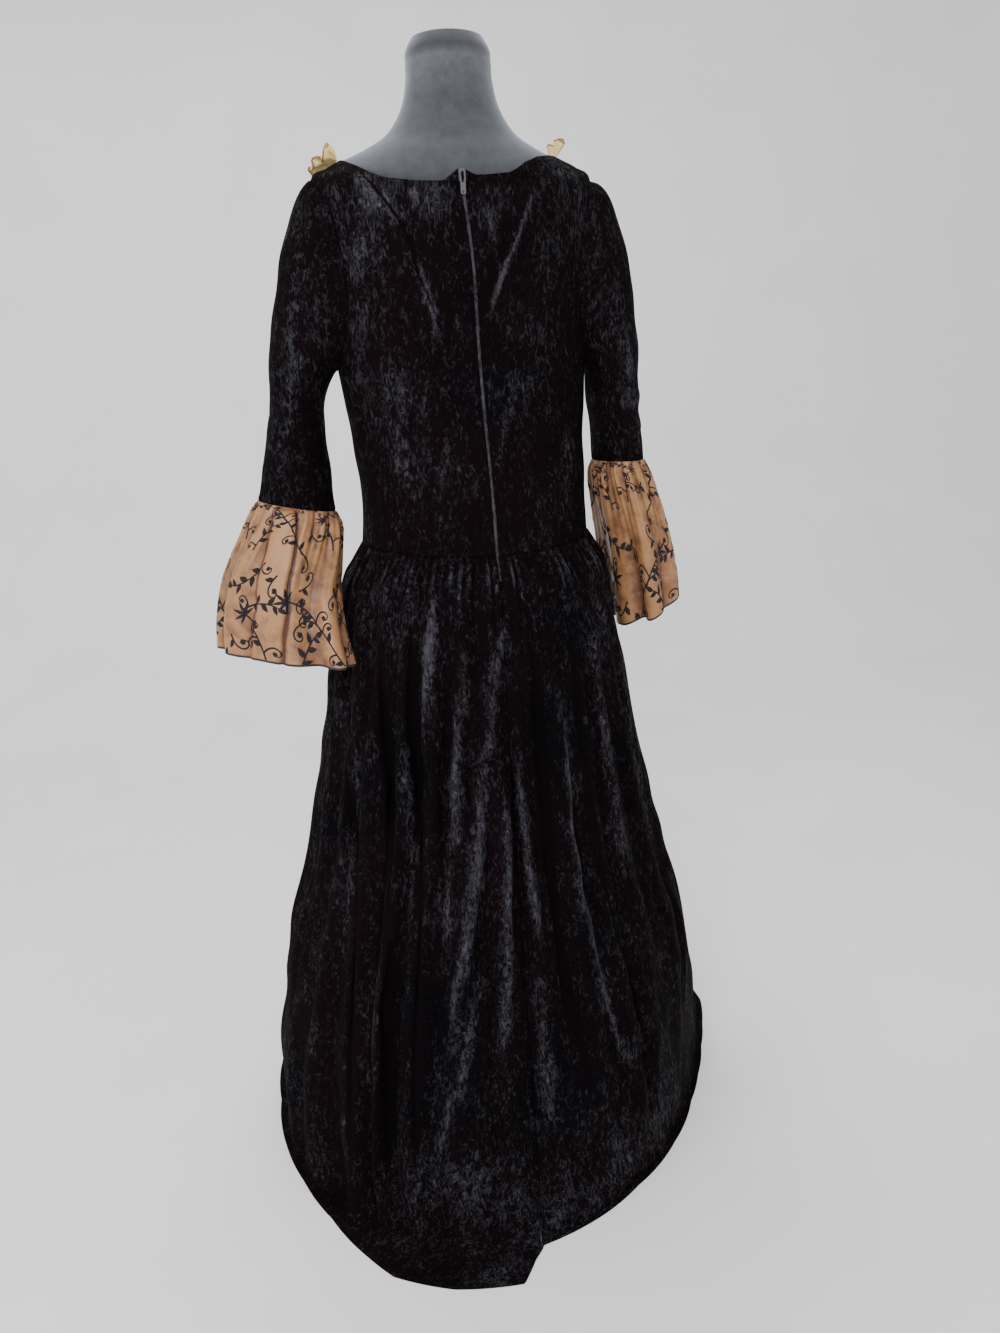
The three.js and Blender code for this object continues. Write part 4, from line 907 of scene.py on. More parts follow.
def flock_layer(name, middle, normals, hem_length, material, shift):
    """The vine laid on a cuff: each strip's two edges and two inner lines are placed on the cuff's
    outer face by their share of the flat cut, the edges touching the satin and the inner lines a
    pile's height above it."""
    around = round(hem_length / REPEAT[0]) * REPEAT[0]
    lines, widths = vine_strips(around, CUFF_DEPTH)
    along = np.gradient(lines, axis=1)
    along /= np.maximum(np.linalg.norm(along, axis=-1, keepdims=True), 1e-9)
    side = np.stack([-along[..., 1], along[..., 0]], -1) * widths[..., None]
    flat = np.stack([lines + side, lines + side * 0.4, lines - side * 0.4, lines - side], 2)
    lift = np.array([0.05, FLOCK_HEIGHT, FLOCK_HEIGHT, 0.05])
    columns, rows = middle.shape[:2]
    column = np.mod(flat[..., 0] + shift, around) / around * columns
    row = np.clip(flat[..., 1] / CUFF_DEPTH, 0, 1) * (rows - 1)
    i, j = np.floor(column).astype(int) % columns, np.minimum(np.floor(row).astype(int), rows - 2)
    f, g = (column - np.floor(column))[..., None], (row - j)[..., None]
    beside = (i + 1) % columns

    def blend(grid):
        """A grid's values at the strips' places, between its four nearest points."""
        top = grid[i, j] * (1 - f) + grid[beside, j] * f
        low = grid[i, j + 1] * (1 - f) + grid[beside, j + 1] * f
        return top * (1 - g) + low * g

    points = blend(middle) + blend(normals) * (SATIN / 2 + lift)[:, None]
    strokes, steps = points.shape[:2]
    k, a, b = np.meshgrid(np.arange(strokes), np.arange(steps - 1), np.arange(3), indexing="ij")
    corner = (k * steps + a) * 4 + b
    faces = np.stack([corner, corner + 4, corner + 5, corner + 1], -1).reshape(-1, 4)
    inside = (flat[..., 1] > 1) & (flat[..., 1] < CUFF_DEPTH - HEM_EDGE)
    faces = faces[inside.ravel()[faces].all(1)]
    used, faces = np.unique(faces, return_inverse=True)
    return build_mesh(name, points.reshape(-1, 3)[used], faces.reshape(-1, 4), material)


def black_flock():
    """Black flock: short matt pile with a faint grey sparkle where it catches the light."""
    material, tree, shader = new_material("black_flock", Roughness=0.95, Specular_IOR_Level=0.15)
    pile = noise(tree, place(tree), 900, 3, 0.7)
    tint = ramp(tree, pile, [(0.4, (0.006, 0.005, 0.007)), (0.75, (0.05, 0.046, 0.055))])
    tree.links.new(tint, shader.inputs["Base Color"])
    bump(tree, shader, noise(tree, place(tree), 3000, 2), 0.5, 0.0003)
    return material


def bronze_satin():
    """Bronze-gold satin: painted shade makes it tan-pink in the hollows and painted highlight makes it
    gold on the ridges, as its "ridge_light_and_shade" mark says, with fine slubs down the cloth. The
    "to_hem" mark, millimetres above the hem, turns the last few into a narrow black edge."""
    material, tree, shader = new_material(
        "bronze_satin", Specular_IOR_Level=0.35, Sheen_Weight=0.05, Sheen_Roughness=0.4
    )
    ridge_light_and_shade = node(tree, "ShaderNodeAttribute", attribute_name="ridge_light_and_shade").outputs["Fac"]
    to_hem = node(tree, "ShaderNodeAttribute", attribute_name="to_hem").outputs["Fac"]
    uv = tree.nodes.new("ShaderNodeUVMap").outputs["UV"]
    slubs = node(tree, "ShaderNodeMapping", Vector=uv, Scale=(700, 60, 1)).outputs["Vector"]
    slub = noise(tree, slubs, 1, 3, 0.6)
    cloud = noise(tree, place(tree), 45, 4, 0.6, 0.4)
    tone = weighed(tree, slub, 0.25, weighed(tree, ridge_light_and_shade, 0.35, cloud))
    tones = [(0.36, (0.06, 0.02, 0.009)), (0.62, (0.15, 0.062, 0.027)), (0.95, (0.34, 0.172, 0.073))]
    satin = ramp(tree, tone, tones)
    edge = node(tree, "ShaderNodeMapRange", Value=to_hem)
    edge.inputs["From Min"].default_value = HEM_EDGE - 0.4
    edge.inputs["From Max"].default_value = HEM_EDGE + 0.4
    mixed = node(tree, "ShaderNodeMix", data_type="RGBA")
    tree.links.new(edge.outputs["Result"], mixed.inputs[0])
    mixed.inputs[6].default_value = (0.008, 0.007, 0.009, 1)
    tree.links.new(satin, mixed.inputs[7])
    tree.links.new(mixed.outputs[2], shader.inputs["Base Color"])
    tree.links.new(ramp(tree, cloud, [(0.35, 0.5), (0.7, 0.36)]), shader.inputs["Roughness"])
    bump(tree, shader, slub, 0.25, 0.0005)
    return material


satin_cloth = bronze_satin()
flock_pile = black_flock()
CUFF_DEPTH = 212


def cuff(name, side, seed):
    """A cuff and its flock from a middle grid: oval rows smoothly joined, pushed in and out by the
    gathers near the seam and the flutes near the hem, with uneven flutes so that no two look alike.
    The left one has its flat box fold, raised with a steep edge, painted lighter on its face, with a
    line of painted shade along its steep edge and a fainter one along its other side."""
    turn = np.pi * (1 - 2 * np.arange(CUFF_COLUMNS) / CUFF_COLUMNS)[:, None]
    rows_at = through(CUFFS[name], np.linspace(0, len(CUFFS[name]) - 1, CUFF_STEPS))[None]
    gather, flute = rows_at[..., 7], rows_at[..., 8]
    uneven = 0.16 * np.sin(2 * turn + seed) + 0.11 * np.sin(5 * turn - 2 * seed)
    small = np.cos(CUFF_GATHERS * turn + 0.5 * np.sin(3 * turn + seed))
    small = small + 0.35 * np.cos(3 * CUFF_GATHERS * turn + seed)
    large = np.cos(CUFF_FLUTES * turn + uneven)
    large = large * (1 + 0.2 * np.sin(3 * turn + seed)) - 0.15 * np.cos(2 * CUFF_FLUTES * turn)
    wave = gather * small + flute * large
    # Painted highlight on the crests of the gathers and flutes, and painted shade in their hollows.
    ridge_light_and_shade = 0.5 + 0.5 * small * gather / 3 + 0.4 * large * flute / 7
    if name == "cuff_left":
        path = np.array(BAND_PATH, float)
        share = np.linspace(0, 1, CUFF_STEPS)[None]
        apart = np.degrees(turn) - np.interp(share, path[:, 0], path[:, 1])
        begun = soft_step(apart, -BAND_HALF - 8, -BAND_HALF)
        band = begun * (1 - soft_step(apart, BAND_HALF - 1.2, BAND_HALF + 1.2))
        calm = 1 - 0.8 * begun * (1 - soft_step(apart, BAND_HALF, BAND_HALF + 8))
        strength = soft_step(share, 0.02, 0.14) * (1 - 0.5 * soft_step(share, 0.6, 0.97))
        wave = wave * calm + BAND_HEIGHT * band * strength
        # Painted shade along the box fold's steep edge, and fainter along its other side.
        shade = np.exp(-(((apart - BAND_HALF - 2) / 1.5) ** 2))
        shade = shade + 0.35 * np.exp(-(((apart + BAND_HALF + 6) / 2) ** 2))
        ridge_light_and_shade = ridge_light_and_shade * calm + (1.1 * band - 3 * shade) * strength
    middle = tube_points(rows_at, side, turn, wave)
    normals = outward(middle, True) * -side
    hem_length = np.linalg.norm(np.roll(middle[:, -1], -1, 0) - middle[:, -1], axis=-1).sum()
    down_step = np.linalg.norm(np.diff(middle, axis=1), axis=-1)
    down = np.concatenate([np.zeros((CUFF_COLUMNS, 1)), np.cumsum(down_step, 1)], 1)
    u = np.broadcast_to(np.linspace(0, hem_length, CUFF_COLUMNS)[:, None], down.shape)
    marks = {"ridge_light_and_shade": ridge_light_and_shade, "to_hem": down.max(1, keepdims=True) - down}
    uv = np.stack([u, down], -1) * MM
    piece = cloth_wall("satin_" + name, middle, normals, SATIN, True, satin_cloth, uv, marks)
    flock = flock_layer("flock_" + name, middle, normals, hem_length, flock_pile, 30 * seed)
    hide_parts(name)
    for part in (piece, flock):
        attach(part, BODY)
    return piece, flock


cuff_left, flock_left = cuff("cuff_left", 1, 0.7)
cuff_right, flock_right = cuff("cuff_right", -1, 2.1)

# The skirt: four wide panels of velvet, gathered to the dropped waist seam in many small gathers
# that run together into deep folds. It reaches the floor all round and trails a little behind,
# further on the wearer's left.
FOLD_COLUMNS = 6
FINE = 5
# Folds: where each starts, in degrees round from the centre back, and its depth.
FOLDS = [
    [0, 12], [11, 15], [23, 16], [34, 24], [44, 23], [56, 18], [71, 22], [90, 20], [105, 23], [119, 19],
    [134, 24], [150, 20], [165, 22], [180, 19], [196, 24], [210, 20], [226, 22], [241, 19], [256, 22],
    [270, 21], [285, 22], [300, 16], [314, 20], [326, 15], [338, 13], [350, 10],
]
# Rows of the skirt: height, half width, depth behind and in front, share of each fold's depth, size
# of the gathers, turn of the back seam in degrees, the least distance inside the hem's edge, and
# how far the row is moved across.
SKIRT_ROWS = [
    [918, 181, 145, 138, 0.1, 3.8, 0, 90, -7],
    [885, 198, 165, 156, 0.2, 2.2, 0, 80, -5],
    [800, 211, 188, 180, 0.4, 0.4, 0.5, 70, -2],
    [660, 234, 212, 204, 0.62, 0, 1, 60, 0],
    [480, 270, 242, 234, 0.8, 0, 1.5, 42, 0],
    [290, 322, 280, 270, 0.95, 0, 1.8, 26, 0],
    [120, 356, 314, 296, 1, 0, 2, 17, 0],
    [24, 362, 352, 312, 1, 0, 3, 14, 0],
    [0.9, 370, 378, 326, 1, 0, 4.2, 9, 0],
]
HEM_TURN = 4.2
SEAM_TURN_REACH = 60
SKIRT_SEAM = 0.5
WAIST_GATHER = 2.2
# The hem's outline on the floor: plan angle in degrees and distance from the middle of the foot
# plate.
HEM_RADIUS = [
    [0, 390], [2, 406], [5, 442], [18, 449], [30, 445], [37, 428], [50, 400], [64, 384], [77, 377],
    [94, 372], [114, 392], [135, 372], [180, 345], [225, 350], [240, 414], [250, 449], [260, 430],
    [269, 396], [278, 370], [290, 350], [301, 340], [317, 341], [334, 350], [350, 371], [359, 384],
    [360, 386],
]
# Creases of the skirt: height and half width in millimetres, the lean, then (height, plan angle)
# points.
SKIRT_CREASES = [
    (4, 7, 0.2, [[850, 33], [829, 32.1], [762, 32.1], [722, 33], [640, 33]]),
    (3.5, 7, 0, [[740, 5.5], [667, 9.1], [532, 13.6], [394, 19.8], [280, 23]]),
    (-4, 6, 0.2, [[720, 15], [600, 17], [480, 20.5], [360, 26], [240, 29]]),
    (3.5, 8, 0.2, [[620, 5], [551, 5.4], [474, 5.9], [335, 7.4], [220, 10.6]]),
    (-4, 7, 0, [[800, -5], [660, -6.5], [500, -6.5], [340, -6.5], [200, -8]]),
    (3.5, 8, 0, [[640, 38.5], [527, 38.1], [415, 37.3], [260, 38]]),
    (3, 8, 0, [[480, -29], [429, -30.1], [302, -32], [170, -37]]),
    (-10, 7, 0.3, [[800, 74], [728, 72.5], [458, 56], [161, 52], [60, 50]]),
    (-10, 7, -0.3, [[850, 54], [745, 51.5], [477, 44], [186, 42], [70, 41]]),
    (-9, 7, 0.2, [[850, 39], [751, 38], [486, 34], [200, 33.6], [80, 33]]),
    (6, 9, 0.2, [[905, 30], [884, 30], [727, 30], [600, 29], [480, 28.5]]),
    (6, 9, -0.3, [[860, 20.5], [728, 20.5], [597, 21], [480, 22], [340, 25]]),
    (6, 10, 0.2, [[760, 9], [635, 12], [492, 17], [269, 23.6], [82, 32]]),
    (6, 9, -0.2, [[640, 3.5], [553, 4.6], [400, 8], [225, 12.6], [110, 15]]),
    (-5, 7, 0, [[881, 1.3], [750, 1.9], [483, 0.4], [200, 2], [60, 3]]),
    (5, 9, 0.2, [[760, -1.5], [642, -1.5], [426, -2.5], [250, -3]]),
    (6.5, 9, -0.3, [[860, -23], [720, -21.7], [530, -17.5], [399, -19.4], [199, -26], [90, -30]]),
    (-6, 8, 0, [[820, -13], [700, -12], [500, -10], [320, -11], [150, -15]]),
    (-6, 8, 0.2, [[850, -32], [700, -30], [500, -28], [300, -33], [140, -38]]),
    (5, 9, 0, [[860, -44], [700, -42], [520, -40], [330, -44], [160, -47]]),
    (-5, 8, 0, [[840, -55], [640, -52], [420, -53], [200, -57]]),
    (5, 10, 0.2, [[850, -68], [640, -66], [420, -66], [200, -70]]),
    (-5, 8, 0, [[850, 86], [640, 82], [420, 80], [200, 79]]),
    (5, 10, 0.2, [[850, 64], [640, 62], [420, 61], [200, 62]]),
    (6, 10, 0.2, [[850, 98], [640, 99], [420, 97], [200, 98]]),
    (-6, 8, -0.2, [[840, 111], [640, 113], [420, 112], [200, 110]]),
    (6, 10, 0, [[860, 126], [700, 124], [480, 127], [250, 128]]),
    (-6, 8, 0.2, [[850, 141], [640, 142], [420, 144], [160, 146]]),
    (6, 10, -0.2, [[860, 158], [700, 157], [480, 155], [250, 154]]),
    (-6, 8, 0, [[850, 172], [640, 174], [420, 173], [160, 171]]),
    (6, 10, 0.2, [[860, 188], [700, 187], [480, 190], [250, 191]]),
    (-6, 8, -0.2, [[850, 203], [640, 202], [420, 205], [160, 206]]),
    (6, 10, 0, [[860, 219], [700, 220], [480, 218], [250, 216]]),
    (-6, 8, 0.2, [[850, 234], [640, 236], [420, 233], [160, 232]]),
    (6, 10, -0.2, [[860, 249], [700, 248], [480, 250], [250, 252]]),
    (-6, 8, 0, [[850, 263], [640, 262], [420, 264], [160, 266]]),
    (6, 10, 0.2, [[860, 278], [700, 279], [480, 277], [250, 276]]),
]
# Pressed streaks of the skirt, painted lighter as highlights on the crests: amount, half width and
# lean, then (height, plan angle) points. The first five keep the pile upright and dark in the
# deepest folds behind, as painted shade.
SKIRT_PRESS_AND_LIGHT_STREAKS = [
    (-1.6, 5, 0, [[800, 74], [728, 72.5], [458, 56], [161, 52], [60, 50]]),
    (-1.6, 5, 0, [[850, 54], [745, 51.5], [477, 44], [186, 42], [70, 41]]),
    (-1.6, 5, 0, [[850, 39], [751, 38], [486, 34], [200, 33.6], [80, 33]]),
    (-1.2, 5, 0, [[820, -13], [700, -12], [500, -10], [320, -11], [150, -15]]),
    (-1.2, 5, 0, [[850, -32], [700, -30], [500, -28], [300, -33], [140, -38]]),
    (0.8, 8, 0, [[900, 30.5], [860, 30], [790, 31], [720, 30]]),
    (0.6, 7, 0, [[850, 33], [790, 32.1], [720, 33], [660, 33.5]]),
    (0.9, 8, 0, [[760, 20.4], [724, 20.3], [655, 21], [583, 21.8], [520, 22]]),
    (0.5, 7, 0, [[820, 17.4], [790, 17.8], [720, 18.6]]),
    (0.95, 9, 0, [[700, 9], [635, 12], [532, 14.5], [492, 17], [394, 19.8], [324, 22.8], [240, 25]]),
    (0.6, 8, 0, [[860, -1], [826, 0], [780, 4.5], [720, 7.5], [660, 9.1]]),
    (0.8, 7, 0, [[640, 4], [551, 5.4], [474, 5.9], [335, 7.4], [225, 11]]),
    (0.8, 6, 0, [[690, -1.5], [642, -1.5], [520, -2.2], [426, -3], [380, -3]]),
    (1.0, 8, 0, [[770, -22.5], [715, -23.1], [620, -20.5], [530, -18.5], [430, -20], [345, -22.5],
        [240, -25], [160, -28]]),
    (0.7, 7, 0, [[560, 24.2], [520, 24.5], [470, 24.7], [400, 25.6]]),
    (0.5, 7, 0, [[720, 39], [640, 38.7], [527, 38.1], [400, 37.3]]),
    (0.6, 10, 0, [[360, -2.5], [300, -2], [220, -1.7], [120, -1.5]]),
    (0.7, 9, 0, [[470, -29], [429, -30.1], [330, -31.5], [250, -33.5], [170, -37]]),
    (0.7, 10, 0, [[360, 16.5], [300, 18], [222, 21.4], [140, 26.5], [80, 30]]),
    (0.5, 9, 0, [[420, 47.5], [300, 46.8], [180, 47]]),
    (0.5, 9, 0, [[860, -44], [700, -42], [520, -40], [330, -44]]),
    (0.5, 9, 0, [[700, 63], [520, 61], [330, 61]]),
    (0.5, 9, 0, [[760, -68], [600, -66], [420, -66]]),
    (0.6, 10, 0, [[850, 98], [700, 99], [560, 98]]),
    (0.7, 9, 0, [[620, 103], [480, 101], [300, 100]]),
    (0.6, 9, 0, [[800, 126], [640, 124], [420, 127]]),
    (0.7, 9, 0, [[560, 134], [400, 136], [220, 137]]),
    (0.6, 10, 0, [[840, 158], [660, 157], [520, 155]]),
    (0.7, 9, 0, [[600, 166], [420, 168], [240, 165]]),
    (0.6, 10, 0, [[820, 188], [640, 187], [480, 190]]),
    (0.7, 9, 0, [[520, 197], [360, 199], [200, 197]]),
    (0.6, 9, 0, [[860, 219], [700, 220], [480, 218]]),
    (0.7, 9, 0, [[560, 226], [400, 228], [240, 226]]),
    (0.6, 10, 0, [[820, 249], [640, 248], [460, 250]]),
    (0.7, 9, 0, [[620, 256], [440, 258], [260, 259]]),
    (0.6, 9, 0, [[860, 278], [700, 279], [520, 277]]),
]
# Pressed clouds, painted lighter as broad highlights, where the cloth breaks on the floor and on
# the hips.
SKIRT_PRESS_AND_LIGHT_CLOUDS = [
    (0.5, 60, [110, 330, 60]),
    (0.45, 60, [10, 380, 20]),
    (0.45, 60, [180, 300, 50]),
    (0.4, 60, [-110, 320, 60]),
    (0.4, 60, [-190, 260, 60]),
    (0.4, 60, [90, 420, 2]),
    (0.35, 60, [-60, 360, 10]),
    (0.35, 60, [150, 120, 840]),
    (0.35, 60, [-160, 110, 820]),
    (0.4, 60, [-280, -200, 40]),
    (0.4, 60, [260, -220, 50]),
    (0.4, 70, [0, -310, 60]),
]
# How upright the pile is between the streaks.
SKIRT_UPRIGHT = 0.24


def skirt_lines():
    """The skirt's guide lines, one for each fine column: at each of the eleven guide rows a point
    of an ellipse, moved out by the fold's squared sine and by the gathers' cosine, and kept inside
    the hem's outline on the floor."""
    folds = np.array(FOLDS, float)
    count = len(folds) * FOLD_COLUMNS
    column = np.arange(count * FINE) / FINE
    edges = np.append(folds[:, 0], 360)
    degrees = np.interp(column / FOLD_COLUMNS, np.arange(len(edges)), edges)
    fold = np.floor(column / FOLD_COLUMNS).astype(int)
    crest = np.sin(np.pi * (column / FOLD_COLUMNS - fold)) ** 2
    depths = np.r_[folds[-1, 1], folds[:, 1], folds[0, 1]]
    depth = np.interp(column / FOLD_COLUMNS - 0.5, np.arange(-1, len(folds) + 1), depths)
    uneven = 0.72 + 0.38 * np.sin(0.83 * column + 1.7 * np.sin(0.21 * column))
    zigzag = -np.cos(np.pi * column) * uneven
    hem_table = np.array(HEM_RADIUS, float)
    hem = np.interp(degrees, hem_table[:, 0], hem_table[:, 1])
    near = np.maximum(0, 1 - np.minimum(degrees, 360 - degrees) / SEAM_TURN_REACH)
    waist = bodice_points(np.zeros_like(degrees), np.radians(degrees))
    flat = np.stack([waist[:, 0] / 169**2, waist[:, 1] / 130**2, np.zeros_like(degrees)], -1)
    flat /= np.linalg.norm(flat, axis=-1, keepdims=True)
    waist = waist + flat * (WAIST_GATHER * zigzag)[:, None] - [0, 0, 0.5]
    lines = [waist]
    clear = np.sin(2 * np.radians(degrees)) ** 2
    for row, (z, half_width, back, front, share, gather, swing, inside, sway) in enumerate(SKIRT_ROWS):
        wander = 1.9 * np.sin(5 * np.radians(degrees) + 0.9 * row)
        wander = wander + 1.2 * np.sin(11 * np.radians(degrees) - 0.7 * row)
        angle = np.radians(degrees + swing * near + clear * wander * min(row, 3) / 3)
        share = share * (1 + 0.3 * np.sin(2.1 * fold + 0.55 * row) * (row < 7))
        reach = np.where(np.cos(angle) > 0, back, front)
        point = np.stack([half_width * np.sin(angle) + sway, reach * np.cos(angle)], -1)
        out = np.stack([reach * np.sin(angle), half_width * np.cos(angle)], -1)
        out /= np.linalg.norm(out, axis=-1, keepdims=True)
        point += out * (share * depth * (crest - 0.45) + gather * zigzag)[:, None]
        size = np.linalg.norm(point, axis=-1)
        point *= (np.minimum(size, hem - inside) / size)[:, None]
        lines.append(np.concatenate([point, np.full((len(point), 1), z)], -1))
    angle = np.radians(degrees + HEM_TURN * near)
    lines.append(np.stack([hem * np.sin(angle), hem * np.cos(angle), np.full_like(angle, 0.9)], -1))
    return np.array(lines)


def skirt_creases(points, lines):
    """Height of the skirt's long creases: for each, its size times a bell of the sideways distance,
    in millimetres, from a line given by its plan angle at each height, fading towards both ends."""
    x, y, z = np.moveaxis(points, -1, 0)
    angle = np.degrees(np.arctan2(x, y))
    radius = np.hypot(x, y)
    height = np.zeros(x.shape)
    for size, width, lean, path in lines:
        path = np.array(path, float)[::-1]
        fine = np.linspace(path[0, 0], path[-1, 0], 40)
        curve = np.interp(fine, path[:, 0], path[:, 1])
        curve = np.convolve(np.pad(curve, 4, mode="edge"), np.ones(9) / 9, "valid")
        middle = np.interp(z, fine, curve)
        apart = np.radians(np.mod(angle - middle + 180, 360) - 180) * radius
        reach = np.where(apart > 0, 1 + lean, 1 - lean) * width * (1 + 0.25 * np.sin(z / 47 + middle))
        along = np.clip((z - path[0, 0]) / (path[-1, 0] - path[0, 0]), 0, 1)
        height += size * np.exp(-((apart / reach) ** 2)) * (1 - np.abs(2 * along - 1) ** 4)
    return height


def skirt_grid():
    """The guide lines followed by smooth cubics down to the floor, with the long creases and small
    buckles laid on."""
    lines = skirt_lines()
    rows = np.concatenate(
        [
            np.linspace(0, 2, 15)[:-1],
            np.linspace(2, 3, 9)[:-1],
            np.linspace(3, 7, 53)[:-1],
            np.linspace(7, 9, 17)[:-1],
            np.linspace(9, 10, 9),
        ]
    )
    middle = np.swapaxes(through(lines, rows), 0, 1)[:, ::-1]
    middle[..., 2] = np.maximum(middle[..., 2], 0.9)
    normals = outward(middle, True)
    x, y, z = np.moveaxis(middle, -1, 0)
    angle = np.arctan2(x, y)
    buckle = 1.3 * np.sin(z / 21 + 9 * angle + 1.6 * np.sin(z / 63 + 5 * angle))
    buckle = buckle + 1.1 * np.sin(z / 37 - 23 * angle) + 0.9 * np.sin(41 * angle + z / 55)
    fade = soft_step(z, 6, 60) * (1 - soft_step(z, 880, 925))
    height = (skirt_creases(middle, SKIRT_CREASES) + buckle) * fade
    press_and_painted_light = skirt_creases(middle, SKIRT_PRESS_AND_LIGHT_STREAKS) + clouds(middle, SKIRT_PRESS_AND_LIGHT_CLOUDS)
    # Pressed pile and a painted highlight on the crests of the gathers just below the waist seam.
    turn = np.gradient(np.gradient(np.hypot(x, y), axis=0), axis=0)
    gather_crest_press_and_highlight = soft_step(-turn, 0.05, 0.5) * np.exp(-(((z - 905) / 26) ** 2))
    broken = 0.5 + 0.5 * np.sin(19 * angle + 2 * np.sin(7 * angle))
    press_and_painted_light = press_and_painted_light + 0.8 * gather_crest_press_and_highlight * broken - SKIRT_UPRIGHT
    middle = middle + normals * height[..., None]
    middle[..., 2] = np.maximum(middle[..., 2], 0.9)
    floor_row = z <= 0.91
    normals = outward(middle, True)
    normals[floor_row] = [0, 0, 1]
    return middle, normals, press_and_painted_light


skirt_middle, skirt_normals, skirt_press_and_painted_light = skirt_grid()


def skirt_panel(name, first, last):
    """One panel of the skirt between two seams, kept back from each by half a seam."""
    index = np.arange(first * FOLD_COLUMNS * FINE, last * FOLD_COLUMNS * FINE + 1) % len(skirt_middle)
    middle, normals = skirt_middle[index].copy(), skirt_normals[index]
    along = np.gradient(middle, axis=0)
    along[..., 2] = 0
    along /= np.linalg.norm(along, axis=-1, keepdims=True)
    middle[0] += along[0] * SKIRT_SEAM / 2
    middle[-1] -= along[-1] * SKIRT_SEAM / 2
    marks = {"press_and_painted_light": skirt_press_and_painted_light[index]}
    piece = cloth_wall("velvet_" + name, middle, normals, VELVET, False, body_velvet, None, marks)
    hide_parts(name)
    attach(piece, BODY)
    return piece


skirt_back_left = skirt_panel("skirt_back_left", 0, 7)
skirt_front_left = skirt_panel("skirt_front_left", 7, 13)
skirt_front_right = skirt_panel("skirt_front_right", 13, 19)
skirt_back_right = skirt_panel("skirt_back_right", 19, 26)

# The lap over the zip: the folded and stitched edge of the placket, a narrow raised welt that runs
# down the centre back from below the pull tab, across the waist seam and a hand's width into the
# skirt's seam.
LAP_HALF, LAP_HEIGHT = 2.2, 1.8
LAP_TOP_ROW = 9.1
LAP_SKIRT_ROWS = 13


def lap_strip():
    """A rounded strip along the seam's line: across it, the height is the 0.6th power of a cosine
    of the sideways share."""
    rows = np.linspace(LAP_TOP_ROW, 0.06, 90)
    angles = back_seam(rows)
    upper = bodice_points(rows, angles)
    lower = skirt_middle[0, ::-1][3:LAP_SKIRT_ROWS]
    line = np.concatenate([upper, lower])
    down = np.gradient(line, axis=0)
    out = np.cross([1.0, 0, 0], down)
    out *= np.sign(out[:, 1:2])
    out /= np.linalg.norm(out, axis=-1, keepdims=True)
    side = np.cross(down, out)
    side /= np.linalg.norm(side, axis=-1, keepdims=True)
    across = np.linspace(-1, 1, 9)
    height = VELVET / 2 - 0.2 + LAP_HEIGHT * np.cos(np.pi / 2 * across) ** 0.6
    points = line[:, None] + side[:, None] * (LAP_HALF * across)[None, :, None]
    points = points + out[:, None] * height[None, :, None]
    # The welt's pile is pressed and painted lighter along its length, as the highlight on its folded edge.
    press_and_painted_light = np.broadcast_to(0.9 + 0.15 * np.sin(np.arange(len(line)) * 0.7)[:, None], points.shape[:2])
    return points, press_and_painted_light


lap_points, lap_press_and_painted_light = lap_strip()
lap_faces = grid_faces(lap_points.shape[0], lap_points.shape[1], False)
zip_lap = build_mesh("velvet_zip_lap", lap_points, lap_faces, body_velvet, None, {"press_and_painted_light": lap_press_and_painted_light})
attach(zip_lap, BODY)

# The neck ruffle: one strip of sheer gold ribbon, gathered in close loops and sewn along the front
# and side neckline from shoulder to shoulder. Its free edge is finished with a thin darker thread.
RUFFLE_THICK, RIBBON_THICK = 1.0, 0.5
RUFFLE_WIDTH = 24
RUFFLE_WAVES = 27
RUFFLE_FINE = 10
RUFFLE_FROM, RUFFLE_TO = 80, 280
# Rise and distance off at five shares of the way round, from the left shoulder over the front, and
# the waves' size.
RUFFLE_AT = [0, 0.07, 0.5, 0.92, 1]
RUFFLE_RISE = [[-4, -4, -4, -4, -4], [-3, -14, 8, -2, -2], [-5, -31, 20, 2, -1]]
RUFFLE_OFF = [[0.2, 0.2, 0.2, 0.2, 0.2], [12, 9, 5, 12, 12], [20, 12, 11, 23, 22]]
RUFFLE_WAVE = [[0], [4], [6.5]]


def gold_ribbon():
    """Gold ribbon: a fine weave of bright and dull threads, darker along its free edge."""
    material, tree, shader = new_material("gold_ribbon", Metallic=0.1, Roughness=0.38, Sheen_Weight=0.3)
    uv = tree.nodes.new("ShaderNodeUVMap").outputs["UV"]
    weave = node(tree, "ShaderNodeTexWave", Vector=uv, Scale=900, Distortion=1.5).outputs["Fac"]
    gold = ramp(tree, weave, [(0.1, (0.65, 0.4, 0.08)), (0.6, (0.93, 0.68, 0.24)), (1, (1.0, 0.87, 0.5))])
    rim = node(tree, "ShaderNodeAttribute", attribute_name="rim").outputs["Fac"]
    mixed = node(tree, "ShaderNodeMix", data_type="RGBA")
    tree.links.new(ramp(tree, rim, [(0.82, 0), (0.92, 1)]), mixed.inputs[0])
    tree.links.new(gold, mixed.inputs[6])
    mixed.inputs[7].default_value = (0.2, 0.11, 0.02, 1)
    tree.links.new(mixed.outputs[2], shader.inputs["Base Color"])
    bump(tree, shader, weave, 0.3, 0.0004)
    return material


